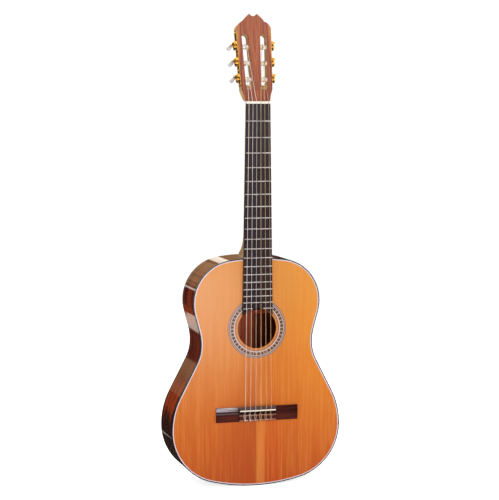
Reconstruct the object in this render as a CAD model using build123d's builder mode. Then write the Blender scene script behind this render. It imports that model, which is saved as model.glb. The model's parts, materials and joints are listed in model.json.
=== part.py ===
from build123d import *
import math
import os

# Classical guitar with a slotted head, built the Spanish way: the ribs slot into the neck's heel,
# and the neck's foot lies inside the soundbox.
# Millimetres. +Z runs up the neck, the soundboard faces -Y, and the treble side is +X. The origin is
# on the centre line at the tail, in the middle of the whole guitar's front-to-back size.

# ---- Driving dimensions: soundbox ----
BODY_LENGTH = 491.0  # tail to the neck joint
UPPER_WIDTH = 280.0
WAIST_WIDTH = 247.0
LOWER_WIDTH = 374.0
UPPER_DROP = 95.0  # widest line of the upper bout, below the neck joint
WAIST_DROP = 183.0  # waist, below the neck joint
LOWER_RISE = 126.0  # widest line of the lower bout, above the tail
SHOULDER_RADIUS = 91.5  # outline arc above the upper bout's widest line
UPPER_RADIUS = 95.0  # and below it
WAIST_UPPER_RADIUS = 110.0
WAIST_LOWER_RADIUS = 85.0
LOWER_RADIUS = 160.0  # outline arc above the lower bout's widest line
CORNER_RADIUS = 117.0  # and below it
TAIL_DEPTH = 98.0  # soundbox depth at the tail
NECK_DEPTH = 92.0  # soundbox depth at the neck joint
FRONT_Y = -43.0  # front face of the soundboard

TOP_T = 2.5  # soundboard
BACK_T = 2.5
RIB_T = 2.2
BINDING_W = 2.2
BINDING_H = 6.0  # how far the binding reaches down the side
PURFLING_W = 2.0
LINING_W = 6.0
LINING_H = 13.0
GRAFT_W = 8.0  # tail graft between the two ribs
STRIP_W = 6.0  # centre strip of the back
TAIL_BLOCK_W = 70.0
TAIL_BLOCK_T = 18.0

# ---- Driving dimensions: soundhole and rosette ----
HOLE_R = 43.0
ROSETTE_DEPTH = 1.2
ROSETTE_RADII = (46.5, 51.0, 58.4, 64.4)  # inner lines, mosaic, outer lines

# ---- Driving dimensions: braces ----
FAN_ANGLES = (-30.0, -20.0, -10.0, 0.0, 10.0, 20.0, 30.0)
FAN_W = 5.0
FAN_H = 5.0
FAN_START = 32.0  # below the lower bar, where the fan begins
FAN_LENGTH = 205.0
FAN_POINT = 110.0  # where the fan's lines meet, above the fan's start
BAR_W = 7.0
BAR_H = 15.0
BAR_CLEARANCE = 22.0  # from the soundhole's edge to each cross bar
BACK_BAR_HEIGHTS = (95.0, 225.0, 365.0)
BACK_BAR_W = 8.0
BACK_BAR_H = 16.0
SEAM_W = 18.0  # inner strip over the back's centre joint
SEAM_T = 3.0
BRACE_GAP = 1.0  # between a brace's end and the lining
PATCH_T = 1.5  # bridge patch
PATCH_NOTCH = 2.5  # fan braces stay this far outside the patch
HOLE_PATCH_T = 1.8  # strengthening beside the soundhole

# ---- Driving dimensions: neck and fingerboard ----
SCALE = 650.0  # nut to saddle, before compensation
JOINT_FRETS = 12  # frets clear of the body
FRET_COUNT = 19
NUT_WIDTH = 52.0
JOINT_WIDTH = 62.0
BOARD_T = 6.0
BOARD_HOLE_GAP = 0.5  # board's end arc, outside the soundhole's edge
FRET_W = 2.2
FRET_H = 1.1
TANG_W = 0.6
TANG_H = 2.0
FRET_INSET = 0.35  # fret end, inside the board's edge
SHAFT_DEPTH_NUT = 15.5  # neck without its fingerboard
SHAFT_DEPTH_HEEL = 17.5
SHAFT_POWER = 2.25  # 2 is an ellipse, more is squarer
HEEL_REACH = 98.0  # half axis of the heel's section at the body
HEEL_START = 5.0  # full-depth heel above the joint
HEEL_RISE = 50.0  # how far up the heel blends into the shaft
HEEL_POWER = 1.85  # heel's section at the body, narrower behind than an ellipse
HEEL_STATIONS = (-0.2, 0, 0.05, 0.1, 0.16, 0.22, 0.29, 0.36, 0.44, 0.52, 0.61, 0.7, 0.8, 0.9, 1)
SECTION_STEPS = 12  # points round a section of the neck
HEEL_CAP_T = 3.0
FOOT_W = 60.0
FOOT_LENGTH = 52.0
WEB_W = 14.0  # wood between the two rib slots
NUT_T = 5.0
NUT_SPAN = 43.0  # outer strings at the nut
NUT_ACTION = 0.5  # string over the first fret line at the nut
NUT_BREAK = 1.0  # where the strings bend, behind the nut's front face
NUT_BACK_DROP = 1.4  # nut's top falls toward the head
NUT_BELOW_CENTRE = 0.05  # nut's top below the thinnest string's centre
HEAD_BLEND = 30.0  # how far the shaft runs up into the head

# ---- Driving dimensions: head ----
HEAD_ANGLE = 12.0
HEAD_T = 19.0  # without the veneer
VENEER_T = 2.0
FACE_RISE = 1.0  # veneer face in front of the fingerboard's underside, at the nut
HEAD_SIDE_X = 32.6  # straight side of the head, carried down to the nut
HEAD_SPLAY = 1.95  # degrees, each side
HEAD_WAIST = (27.2, 1.0)
HEAD_FLARE = (29.2, 12.5)
HEAD_SIDE_START = 25.0
HEAD_SIDE_END = 156.0
CREST_SHOULDER = (33.4, 165.5)
CREST_STEP = (25.0, 171.3)
CREST_STEP_W = 2.2
CREST_STEP_H = 2.4
CREST_MID = (16.6, 180.6)
CREST_HORN = (8.0, 188.2)
CREST_DIP = (3.6, 183.9)
CREST_NOTCH = 182.4
HEEL_OF_HEAD_R = 17.0  # rounding where the head's back meets the shaft
SLOT_W = 14.5
SLOT_WALL = 9.75  # wood between a slot and the head's side
SLOT_START = 23.0
SLOT_THROUGH = 38.0  # where the slot goes right through, past its ramp
SLOT_END = 145.0
RAMP_ANGLE = 45.0
RAMP_REACH = 25.0  # how far back the ramp's cutter goes

# ---- Driving dimensions: tuning machines ----
ROW_START = 47.5  # first roller, above the nut
ROW_PITCH = 35.0
ROW_COUNT = 3
ROLLER_DEPTH = 9.0  # axis below the veneer face
ROLLER_D = 9.6
STUB_D = 6.8
STUB_L = 7.0
SPINDLE_D = 5.0
STRING_HOLE_D = 1.8
PLATE_L = 120.0
PLATE_W = 14.0
PLATE_T = 1.2
PLATE_START = 32.5  # lower end, above the nut
GEAR_TEETH = 14
GEAR_T = 3.4
GEAR_TIP_R = 6.6
GEAR_ROOT_R = 5.3
TOOTH_ROOT_W = 1.5
TOOTH_TIP_W = 0.8
GEAR_LIFT = 2.5  # gear's inner face above the plate
AXES_GAP = 8.8  # gear axis to worm axis
WORM_CORE_D = 3.4
COLLAR_D = 5.4
COLLAR_T = 1.6
LUG_OFFSET = 5.9
LUG_T = 1.5
LUG_R = 3.3
TOOTH_SUNK = 0.3  # tooth's foot below the root circle
HUB_D = 7.6
WORM_IN_BUTTON = 9.0
BUTTON_CENTRE = 32.0  # behind the roller's axis
BUTTON_L = 21.0
BUTTON_W = 18.0
BUTTON_T = 8.0
BUTTON_ROUND = 3.36  # edge rounding, under half the thickness
BUTTON_TURN = 40.0  # broad face, turned from the plate
SCREW_D = 2.0
SCREW_L = 9.0
SCREW_HEAD_D = 4.4
SCREW_HEAD_T = 1.3
SCREW_HEAD_ROUND = 0.78
SCREW_PLACES = (3.8, 35.0, 70.0, 115.2)  # along the plate
GEAR_SCREW_D = 1.8
GEAR_SCREW_L = 5.0
GEAR_SCREW_HEAD_D = 4.6

# ---- Driving dimensions: bridge and strings ----
BRIDGE_L = 181.0
BRIDGE_W = 31.0
WING_T = 3.8
WING_EDGE_T = 2.4
TIE_L = 81.5
SADDLE_SETBACK = 7.0  # saddle's middle behind the bridge's front edge
SADDLE_BLOCK_W = 10.8
SADDLE_BLOCK_H = 8.6
SADDLE_BLOCK_FRONT_H = 6.2
TIE_START = 16.5
TIE_END = 28.5
TIE_H = 8.8
CHANNEL_H = 4.2
TIE_HOLE_H = 5.4
TIE_HOLE_D = 2.2
CHANNEL_CUT = 1.0  # tie holes run out into the channel
TRIM_W = 1.2  # line along each edge of the tie block
TRIM_T = 1.2
SADDLE_T = 2.6
SADDLE_L = 79.0
SADDLE_H = 12.0  # above the soundboard
SADDLE_SUNK = 5.0
SADDLE_SPAN = 58.0
COMPENSATION = 1.5
STRING_D = (0.71, 0.82, 1.02, 0.74, 0.89, 1.09)  # e, b, g, d, a, low E
ROLLER_X = (19.5, 18.5, 16.5)  # where each string lands on its roller, from the centre
NUT_BEND_R = 4.0
HOLE_BEND_R = 5.0
HOLE_ENTRY = 1.5  # where a string levels out, in front of the tie block
TAIL_OUT = 1.2  # string end behind the tie block
SETTLE_STEPS = 6  # rounds of fitting a string's bend to the saddle's top

# ---- Clearances ----
RUN = 0.05  # radial, turning shafts
GUARD = 0.30  # between pieces that turn past each other
REST = 0.03  # string over nut and saddle
GROOVE = 0.35  # string past the head's wood

# ---- Derived sizes ----
joint_z = BODY_LENGTH
nut_z = joint_z + SCALE * (1 - 0.5 ** (JOINT_FRETS / 12))
hole_z = nut_z - SCALE * (1 - 0.5 ** (FRET_COUNT / 12)) - HOLE_R
saddle_z = nut_z - SCALE - COMPENSATION
bridge_front_z = saddle_z + SADDLE_SETBACK
bridge_z = bridge_front_z - BRIDGE_W / 2
back_tilt = math.degrees(math.atan((TAIL_DEPTH - NECK_DEPTH) / BODY_LENGTH))
plates_inset = BINDING_W + PURFLING_W
lining_inset = RIB_T + LINING_W
brace_inset = lining_inset + BRACE_GAP
foot_bottom = joint_z - FOOT_LENGTH


def at_depth(depth):
    """Plane parallel to the soundboard, at a depth behind its front face; extrudes backward."""
    return Plane(origin=(0, FRONT_Y + depth, 0), x_dir=(1, 0, 0), z_dir=(0, -1, 0))


back_plane = Plane(origin=(0, FRONT_Y + TAIL_DEPTH, 0), x_dir=(1, 0, 0), z_dir=(0, 1, 0))
back_plane = back_plane.rotated((back_tilt, 0, 0))
full_depth = TAIL_DEPTH + BINDING_H


def polar(centre, radius, angle):
    """Point on a circle at an angle in degrees."""
    return (
        centre[0] + radius * math.cos(math.radians(angle)),
        centre[1] + radius * math.sin(math.radians(angle)),
    )


def crossing_angle(first, first_r, second, second_r):
    """Direction, from the first centre, of its contact with the tangent that crosses to the second."""
    run = second[0] - first[0]
    rise = second[1] - first[1]
    return math.degrees(math.atan2(rise, run)), math.degrees(
        math.acos((first_r + second_r) / math.hypot(run, rise))
    )


def half_outline(inset):
    """Treble half of the body's outline, drawn into the open line block, moved inward by inset."""
    corner = (LOWER_WIDTH / 2 - CORNER_RADIUS, LOWER_RISE)
    lower = (LOWER_WIDTH / 2 - LOWER_RADIUS, LOWER_RISE)
    waist_low = (WAIST_WIDTH / 2 + WAIST_LOWER_RADIUS, joint_z - WAIST_DROP)
    waist_high = (WAIST_WIDTH / 2 + WAIST_UPPER_RADIUS, joint_z - WAIST_DROP)
    upper = (UPPER_WIDTH / 2 - UPPER_RADIUS, joint_z - UPPER_DROP)
    shoulder = (UPPER_WIDTH / 2 - SHOULDER_RADIUS, joint_z - UPPER_DROP)
    tail_r = (corner[0] ** 2 + corner[1] ** 2 - CORNER_RADIUS**2) / (2 * (corner[1] - CORNER_RADIUS))
    top_r = (shoulder[0] ** 2 + UPPER_DROP**2 - SHOULDER_RADIUS**2) / (2 * (UPPER_DROP - SHOULDER_RADIUS))
    tail = (0, tail_r)
    top = (0, joint_z - top_r)
    tail_end = math.degrees(math.atan2(corner[1] - tail[1], corner[0]))
    top_start = math.degrees(math.atan2(shoulder[1] - top[1], shoulder[0]))
    toward, opening = crossing_angle(lower, LOWER_RADIUS, waist_low, WAIST_LOWER_RADIUS)
    lower_line = toward - opening
    toward, opening = crossing_angle(upper, UPPER_RADIUS, waist_high, WAIST_UPPER_RADIUS)
    upper_line = toward + opening
    CenterArc(tail, tail_r - inset, -90, tail_end + 90)
    CenterArc(corner, CORNER_RADIUS - inset, tail_end, -tail_end)
    CenterArc(lower, LOWER_RADIUS - inset, 0, lower_line)
    Line(
        polar(lower, LOWER_RADIUS - inset, lower_line),
        polar(waist_low, WAIST_LOWER_RADIUS + inset, lower_line + 180),
    )
    CenterArc(waist_low, WAIST_LOWER_RADIUS + inset, lower_line + 180, -lower_line)
    CenterArc(waist_high, WAIST_UPPER_RADIUS + inset, 180, upper_line)
    Line(
        polar(waist_high, WAIST_UPPER_RADIUS + inset, upper_line + 180),
        polar(upper, UPPER_RADIUS - inset, upper_line),
    )
    CenterArc(upper, UPPER_RADIUS - inset, upper_line, -upper_line)
    CenterArc(shoulder, SHOULDER_RADIUS - inset, 0, top_start)
    CenterArc(top, top_r - inset, top_start, 90 - top_start)


def save(piece, name):
    """Label a finished piece and write it to its own file."""
    piece.label = name
    export_step(piece, f"parts/{name}.step")


os.makedirs("parts", exist_ok=True)

# ---- Body envelopes: the full outline, and the inside of the ribs ----
with BuildPart() as envelope:
    with BuildSketch(at_depth(-BINDING_H)):
        with BuildLine():
            half_outline(0)
            mirror(about=Plane.YZ)
        make_face()
    extrude(amount=-full_depth - BINDING_H)

with BuildPart() as rib_space:
    with BuildSketch(at_depth(TOP_T)):
        with BuildLine():
            half_outline(RIB_T)
            mirror(about=Plane.YZ)
        make_face()
    extrude(amount=-full_depth)
    split(bisect_by=back_plane.offset(-BACK_T), keep=Keep.BOTTOM)

with BuildPart() as brace_space:
    with BuildSketch(at_depth(TOP_T)):
        with BuildLine():
            half_outline(brace_inset)
            mirror(about=Plane.YZ)
        make_face()
    extrude(amount=-full_depth)
    split(bisect_by=back_plane.offset(-BACK_T), keep=Keep.BOTTOM)

# ---- Soundboard: two bookmatched halves, with a channel for the rosette ----
with BuildPart() as soundboard_treble:
    with BuildSketch(at_depth(0)):
        with BuildLine():
            half_outline(plates_inset)
            Line((0, plates_inset), (0, joint_z - plates_inset))
        make_face()
        with Locations((0, hole_z)):
            Circle(HOLE_R, mode=Mode.SUBTRACT)
    extrude(amount=-TOP_T)
    with BuildSketch(at_depth(0)):
        with Locations((0, hole_z)):
            Circle(ROSETTE_RADII[-1])
            Circle(ROSETTE_RADII[0], mode=Mode.SUBTRACT)
    extrude(amount=-ROSETTE_DEPTH, mode=Mode.SUBTRACT)
save(soundboard_treble.part, "soundboard_treble")

with BuildPart() as soundboard_bass:
    mirror(soundboard_treble.part, about=Plane.YZ)
save(soundboard_bass.part, "soundboard_bass")

with BuildPart() as rosette_rings:
    with BuildSketch(at_depth(0)):
        with Locations((0, hole_z)):
            Circle(ROSETTE_RADII[3])
            Circle(ROSETTE_RADII[2], mode=Mode.SUBTRACT)
            Circle(ROSETTE_RADII[1])
            Circle(ROSETTE_RADII[0], mode=Mode.SUBTRACT)
    extrude(amount=-ROSETTE_DEPTH)
save(rosette_rings.part, "rosette_rings")

with BuildPart() as rosette_mosaic:
    with BuildSketch(at_depth(0)):
        with Locations((0, hole_z)):
            Circle(ROSETTE_RADII[2])
            Circle(ROSETTE_RADII[1], mode=Mode.SUBTRACT)
    extrude(amount=-ROSETTE_DEPTH)
save(rosette_mosaic.part, "rosette_mosaic")

# ---- Edge: purfling line and binding of the front ----
with BuildPart() as top_purfling:
    with BuildSketch(at_depth(0)):
        with BuildLine():
            half_outline(BINDING_W)
            mirror(about=Plane.YZ)
        make_face()
        with BuildLine():
            half_outline(plates_inset)
            mirror(about=Plane.YZ)
        make_face(mode=Mode.SUBTRACT)
    extrude(amount=-TOP_T)
save(top_purfling.part, "top_purfling")

with BuildPart() as top_binding:
    with BuildSketch(at_depth(0)):
        with BuildLine():
            half_outline(0)
            mirror(about=Plane.YZ)
        make_face()
        with BuildLine():
            half_outline(BINDING_W)
            mirror(about=Plane.YZ)
        make_face(mode=Mode.SUBTRACT)
    extrude(amount=-BINDING_H)
save(top_binding.part, "top_binding")

with BuildPart() as back_binding:
    with BuildSketch(at_depth(0)):
        with BuildLine():
            half_outline(0)
            mirror(about=Plane.YZ)
        make_face()
        with BuildLine():
            half_outline(BINDING_W)
            mirror(about=Plane.YZ)
        make_face(mode=Mode.SUBTRACT)
    extrude(amount=-full_depth)
    split(bisect_by=back_plane, keep=Keep.BOTTOM)
    split(bisect_by=back_plane.offset(-BINDING_H), keep=Keep.TOP)
save(back_binding.part, "back_binding")

# ---- Ribs: one bent side each, slotted into the heel, with a graft between them at the tail ----
with BuildPart() as rib_treble:
    with BuildSketch(at_depth(BINDING_H)):
        with BuildLine():
            half_outline(0)
            Line((0, 0), (0, joint_z))
        make_face()
        with BuildLine():
            half_outline(RIB_T)
            Line((0, RIB_T), (0, joint_z - RIB_T))
        make_face(mode=Mode.SUBTRACT)
        with Locations((0, joint_z)):
            Rectangle(WEB_W, 4 * RIB_T, mode=Mode.SUBTRACT)
        with Locations((0, 0)):
            Rectangle(GRAFT_W, 4 * RIB_T, mode=Mode.SUBTRACT)
    extrude(amount=-full_depth)
    split(bisect_by=back_plane.offset(-BINDING_H), keep=Keep.BOTTOM)
save(rib_treble.part, "rib_treble")

with BuildPart() as rib_bass:
    mirror(rib_treble.part, about=Plane.YZ)
save(rib_bass.part, "rib_bass")

with BuildPart() as tail_graft:
    with BuildSketch(at_depth(BINDING_H)):
        with BuildLine():
            half_outline(0)
            mirror(about=Plane.YZ)
        make_face()
        with BuildLine():
            half_outline(RIB_T)
            mirror(about=Plane.YZ)
        make_face(mode=Mode.SUBTRACT)
        with Locations((0, 0)):
            Rectangle(GRAFT_W, 4 * RIB_T, mode=Mode.INTERSECT)
    extrude(amount=-full_depth)
    split(bisect_by=back_plane.offset(-BINDING_H), keep=Keep.BOTTOM)
save(tail_graft.part, "tail_graft")

with BuildPart() as tail_block:
    with BuildSketch(at_depth(0)):
        Rectangle(TAIL_BLOCK_W, 2 * (RIB_T + TAIL_BLOCK_T))
    extrude(amount=-full_depth)
    add(rib_space.part, mode=Mode.INTERSECT)
save(tail_block.part, "tail_block")

# ---- Linings: a ring inside the ribs at the front and another at the back ----
with BuildPart() as between_linings:
    with BuildSketch(at_depth(TOP_T + LINING_H)):
        Rectangle(2 * LOWER_WIDTH, 4 * BODY_LENGTH)
    extrude(amount=-full_depth)
    split(bisect_by=back_plane.offset(-BACK_T - LINING_H), keep=Keep.BOTTOM)

with BuildPart() as linings:
    with BuildSketch(at_depth(TOP_T)):
        with BuildLine():
            half_outline(RIB_T)
            mirror(about=Plane.YZ)
        make_face()
        with BuildLine():
            half_outline(lining_inset)
            mirror(about=Plane.YZ)
        make_face(mode=Mode.SUBTRACT)
        with Locations((0, joint_z)):
            Rectangle(FOOT_W, 2 * FOOT_LENGTH, mode=Mode.SUBTRACT)
        with Locations((0, 0)):
            Rectangle(TAIL_BLOCK_W, 2 * (RIB_T + TAIL_BLOCK_T), mode=Mode.SUBTRACT)
    extrude(amount=-full_depth)
    split(bisect_by=back_plane.offset(-BACK_T), keep=Keep.BOTTOM)
    add(between_linings.part, mode=Mode.SUBTRACT)
save(linings.part, "linings")

# ---- Braces under the soundboard: fan, two cross bars and strips beside the soundhole ----
lower_bar_z = hole_z - HOLE_R - BAR_CLEARANCE
upper_bar_z = hole_z + HOLE_R + BAR_CLEARANCE
fan_top = lower_bar_z - FAN_START
side_strip_x = (HOLE_R + ROSETTE_RADII[-1]) / 2 + BAR_W / 2

with BuildPart() as top_braces:
    with BuildSketch(at_depth(TOP_T)):
        for angle in FAN_ANGLES:
            reach = math.radians(angle)
            middle = FAN_POINT + FAN_LENGTH / 2
            with Locations(
                Location((middle * math.sin(reach), fan_top + FAN_POINT - middle * math.cos(reach)), angle)
            ):
                Rectangle(FAN_W, FAN_LENGTH)
    extrude(amount=-FAN_H)
    with BuildSketch(at_depth(TOP_T)):
        with Locations((0, bridge_z)):
            Rectangle(BRIDGE_L + 2 * PATCH_NOTCH, BRIDGE_W + 2 * PATCH_NOTCH)
    extrude(amount=-PATCH_T, mode=Mode.SUBTRACT)
    with BuildSketch(at_depth(TOP_T)):
        with Locations((0, lower_bar_z), (0, upper_bar_z)):
            Rectangle(LOWER_WIDTH, BAR_W)
    extrude(amount=-BAR_H)
    with BuildSketch(at_depth(TOP_T)):
        with Locations((side_strip_x, hole_z), (-side_strip_x, hole_z)):
            Rectangle(FAN_W, upper_bar_z - lower_bar_z - 2 * BAR_W)
    extrude(amount=-HOLE_PATCH_T)
    add(brace_space.part, mode=Mode.INTERSECT)
save(top_braces.part, "top_braces")

with BuildPart() as bridge_patch:
    with BuildSketch(at_depth(TOP_T)):
        with Locations((0, bridge_z)):
            Rectangle(BRIDGE_L, BRIDGE_W)
    extrude(amount=-PATCH_T)
save(bridge_patch.part, "bridge_patch")

# ---- Back: two halves, a strip between them, three bars and a seam strip inside ----
with BuildPart() as back_treble:
    with BuildSketch(at_depth(0)):
        with BuildLine():
            half_outline(BINDING_W)
            Line((0, BINDING_W), (0, joint_z - BINDING_W))
        make_face()
        with Locations((0, joint_z / 2)):
            Rectangle(STRIP_W, 2 * BODY_LENGTH, mode=Mode.SUBTRACT)
    extrude(amount=-full_depth)
    split(bisect_by=back_plane, keep=Keep.BOTTOM)
    split(bisect_by=back_plane.offset(-BACK_T), keep=Keep.TOP)
save(back_treble.part, "back_treble")

with BuildPart() as back_bass:
    mirror(back_treble.part, about=Plane.YZ)
save(back_bass.part, "back_bass")

with BuildPart() as back_strip:
    with BuildSketch(at_depth(0)):
        with BuildLine():
            half_outline(BINDING_W)
            mirror(about=Plane.YZ)
        make_face()
        with Locations((0, joint_z / 2)):
            Rectangle(STRIP_W, 2 * BODY_LENGTH, mode=Mode.INTERSECT)
    extrude(amount=-full_depth)
    split(bisect_by=back_plane, keep=Keep.BOTTOM)
    split(bisect_by=back_plane.offset(-BACK_T), keep=Keep.TOP)
save(back_strip.part, "back_strip")

with BuildPart() as seam_strips:
    with BuildSketch(at_depth(0)):
        seam_low = RIB_T + TAIL_BLOCK_T + BRACE_GAP
        seam_high = foot_bottom - BRACE_GAP
        with Locations((0, (seam_low + seam_high) / 2)):
            Rectangle(SEAM_W, seam_high - seam_low)
        for height in BACK_BAR_HEIGHTS:
            with Locations((0, height)):
                Rectangle(2 * SEAM_W, BACK_BAR_W + 2 * BRACE_GAP, mode=Mode.SUBTRACT)
    extrude(amount=-full_depth)
    split(bisect_by=back_plane.offset(-BACK_T - SEAM_T), keep=Keep.TOP)

with BuildPart() as back_braces:
    with BuildSketch(at_depth(0)):
        for height in BACK_BAR_HEIGHTS:
            with Locations((0, height)):
                Rectangle(LOWER_WIDTH, BACK_BAR_W)
    extrude(amount=-full_depth)
    split(bisect_by=back_plane.offset(-BACK_T - BACK_BAR_H), keep=Keep.TOP)
    add(seam_strips.part)
    add(brace_space.part, mode=Mode.INTERSECT)
save(back_braces.part, "back_braces")

# ---- Strings: from a roller's front over the nut and saddle, through the tie block ----
tilt = math.radians(HEAD_ANGLE)
splay = math.radians(HEAD_SPLAY)
face_y = FRONT_Y - FACE_RISE
face_z = nut_z + NUT_T
nut_string_h = BOARD_T + FRET_H + NUT_ACTION
row_heights = [ROW_START + row * ROW_PITCH for row in range(ROW_COUNT)]
string_count = len(STRING_D)


def head_point(x, rise, depth):
    """Point on the head: rise along its face above the nut, depth behind the veneer's face."""
    return Vector(
        x,
        face_y + rise * math.sin(tilt) + depth * math.cos(tilt),
        face_z + rise * math.cos(tilt) - depth * math.sin(tilt),
    )


def string_side(number):
    """+1 for the three treble strings, -1 for the three basses."""
    return 1 if number <= ROW_COUNT else -1


def string_row(number):
    """Row of the string's roller: the outer strings use the rollers nearest the nut."""
    return min(number, string_count + 1 - number) - 1


def span_x(number, span):
    """Place of a string across a span that the outer strings mark."""
    return span / 2 - (number - 1) * span / (string_count - 1)


def saddle_bend_r(number):
    """Radius of a string's centre line where it rides over the saddle's round top."""
    return SADDLE_T / 2 + STRING_D[number - 1] / 2 + REST


def string_points(number):
    """Centre line of one string: roller, nut, saddle, tie hole and end."""
    radius = STRING_D[number - 1] / 2
    row = string_row(number)
    rise = row_heights[row]
    nut_point = Vector(
        span_x(number, NUT_SPAN), FRONT_Y - nut_string_h - radius - REST, nut_z + NUT_BREAK
    )
    along = (nut_point - head_point(0, 0, 0)).dot(head_point(0, 1, 0) - head_point(0, 0, 0))
    above = -(nut_point - head_point(0, 0, 0)).dot(head_point(0, 0, 1) - head_point(0, 0, 0))
    wrap = ROLLER_D / 2 + radius + RUN
    gap = math.hypot(rise - along, above + ROLLER_DEPTH)
    slope = math.atan2(above + ROLLER_DEPTH, rise - along) - math.asin(wrap / gap)
    landing_x = string_side(number) * ROLLER_X[row]
    landing = head_point(
        landing_x, rise + wrap * math.sin(slope), ROLLER_DEPTH - wrap * math.cos(slope)
    )
    saddle_x = span_x(number, SADDLE_SPAN)
    tie_y = FRONT_Y - TIE_HOLE_H
    hole_point = Vector(saddle_x, tie_y, bridge_front_z - TIE_START + HOLE_ENTRY)
    end_point = Vector(saddle_x, tie_y, bridge_front_z - TIE_END - TAIL_OUT)
    crest = Vector(saddle_x, FRONT_Y - SADDLE_H + SADDLE_T / 2, saddle_z)
    saddle_point = crest
    for settle in range(SETTLE_STEPS):
        toward_nut = (nut_point - saddle_point).normalized()
        toward_hole = (hole_point - saddle_point).normalized()
        half_open = math.radians(toward_nut.get_angle(toward_hole)) / 2
        inward = (toward_nut + toward_hole).normalized()
        saddle_point = crest - inward * (saddle_bend_r(number) / math.sin(half_open))
    return landing, nut_point, saddle_point, hole_point, end_point


def string_path(number):
    """The centre line with its three bends rounded, drawn into the open line block."""
    landing, nut_point, saddle_point, hole_point, end_point = string_points(number)
    corners = (
        (landing, nut_point, saddle_point, NUT_BEND_R),
        (nut_point, saddle_point, hole_point, saddle_bend_r(number)),
        (saddle_point, hole_point, end_point, HOLE_BEND_R),
    )
    start = landing
    for before, corner, after, radius in corners:
        to_start = (before - corner).normalized()
        to_end = (after - corner).normalized()
        half_open = math.radians(to_start.get_angle(to_end)) / 2
        leg = radius / math.tan(half_open)
        centre = corner + (to_start + to_end).normalized() * (radius / math.sin(half_open))
        middle = centre + (corner - centre).normalized() * radius
        Line(start, corner + to_start * leg)
        ThreePointArc(corner + to_start * leg, middle, corner + to_end * leg)
        start = corner + to_end * leg
    Line(start, end_point)


def string_tube(number, extra):
    """One string as a solid, thickened by extra for the grooves cut around it."""
    landing, nut_point = string_points(number)[:2]
    with BuildPart() as tube:
        with BuildLine() as route:
            string_path(number)
        with BuildSketch(Plane(origin=landing, z_dir=nut_point - landing)):
            Circle(STRING_D[number - 1] / 2 + extra)
        sweep(path=route.line)
    return tube.part


for number in range(1, string_count + 1):
    save(string_tube(number, 0), f"string_{number}")



def section_plane(y, height):
    """Upright plane across X; its X points out of the front and its Y points up."""
    return Plane(origin=(0, y, height), x_dir=(0, -1, 0), z_dir=(-1, 0, 0))


# ---- Bridge: wings, saddle block, channel and tie block, from one profile ----
with BuildPart() as bridge:
    with BuildSketch(section_plane(FRONT_Y, bridge_front_z)):
        with BuildLine():
            Polyline(
                (0, 0),
                (SADDLE_BLOCK_FRONT_H, 0),
                (SADDLE_BLOCK_H, -SADDLE_SETBACK + SADDLE_T),
                (SADDLE_BLOCK_H, -SADDLE_BLOCK_W),
                (CHANNEL_H, -SADDLE_BLOCK_W),
                (CHANNEL_H, -TIE_START),
                (TIE_H, -TIE_START),
                (TIE_H, -TIE_END),
                (WING_T, -BRIDGE_W),
                (0, -BRIDGE_W),
                close=True,
            )
        make_face()
    extrude(amount=TIE_L / 2, both=True)
    with BuildSketch(section_plane(FRONT_Y, bridge_z)):
        with BuildLine():
            Polyline(
                (0, -BRIDGE_W / 2),
                (0, BRIDGE_W / 2),
                (WING_EDGE_T, BRIDGE_W / 2),
            )
            ThreePointArc((WING_EDGE_T, BRIDGE_W / 2), (WING_T, 0), (WING_EDGE_T, -BRIDGE_W / 2))
            Line((WING_EDGE_T, -BRIDGE_W / 2), (0, -BRIDGE_W / 2))
        make_face()
    extrude(amount=BRIDGE_L / 2, both=True)
    with BuildSketch(at_depth(-SADDLE_BLOCK_H)):
        with Locations((0, saddle_z)):
            Rectangle(SADDLE_L, SADDLE_T)
    extrude(amount=-SADDLE_SUNK, mode=Mode.SUBTRACT)
    with BuildSketch(at_depth(-TIE_H)):
        with Locations(
            (0, bridge_front_z - TIE_START - TRIM_W / 2), (0, bridge_front_z - TIE_END + TRIM_W / 2)
        ):
            Rectangle(TIE_L, TRIM_W)
    extrude(amount=-TRIM_T, mode=Mode.SUBTRACT)
    with BuildSketch(Plane.XY.offset(bridge_front_z - BRIDGE_W)):
        for number in range(1, string_count + 1):
            with Locations((span_x(number, SADDLE_SPAN), FRONT_Y - TIE_HOLE_H)):
                Circle(TIE_HOLE_D / 2)
    extrude(amount=BRIDGE_W - TIE_START + CHANNEL_CUT, mode=Mode.SUBTRACT)
save(bridge.part, "bridge")

with BuildPart() as tie_block_trim:
    with BuildSketch(at_depth(-TIE_H)):
        with Locations(
            (0, bridge_front_z - TIE_START - TRIM_W / 2), (0, bridge_front_z - TIE_END + TRIM_W / 2)
        ):
            Rectangle(TIE_L, TRIM_W)
    extrude(amount=-TRIM_T)
save(tie_block_trim.part, "tie_block_trim")

with BuildPart() as saddle:
    with BuildSketch(section_plane(FRONT_Y, saddle_z)):
        with BuildLine():
            Polyline(
                (SADDLE_H - SADDLE_T / 2, SADDLE_T / 2),
                (SADDLE_BLOCK_H - SADDLE_SUNK, SADDLE_T / 2),
                (SADDLE_BLOCK_H - SADDLE_SUNK, -SADDLE_T / 2),
                (SADDLE_H - SADDLE_T / 2, -SADDLE_T / 2),
            )
            ThreePointArc(
                (SADDLE_H - SADDLE_T / 2, -SADDLE_T / 2),
                (SADDLE_H, 0),
                (SADDLE_H - SADDLE_T / 2, SADDLE_T / 2),
            )
        make_face()
    extrude(amount=SADDLE_L / 2, both=True)
save(saddle.part, "saddle")

# ---- Fingerboard and frets ----
board_slope = (JOINT_WIDTH - NUT_WIDTH) / (nut_z - joint_z)
board_end_z = hole_z + HOLE_R / 2
board_end_r = HOLE_R + BOARD_HOLE_GAP
fret_heights = [nut_z - SCALE * (1 - 0.5 ** (fret / 12)) for fret in range(1, FRET_COUNT + 1)]
last_fret_gap = 2 * math.sqrt(board_end_r**2 - (HOLE_R - FRET_W / 2) ** 2)


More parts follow.
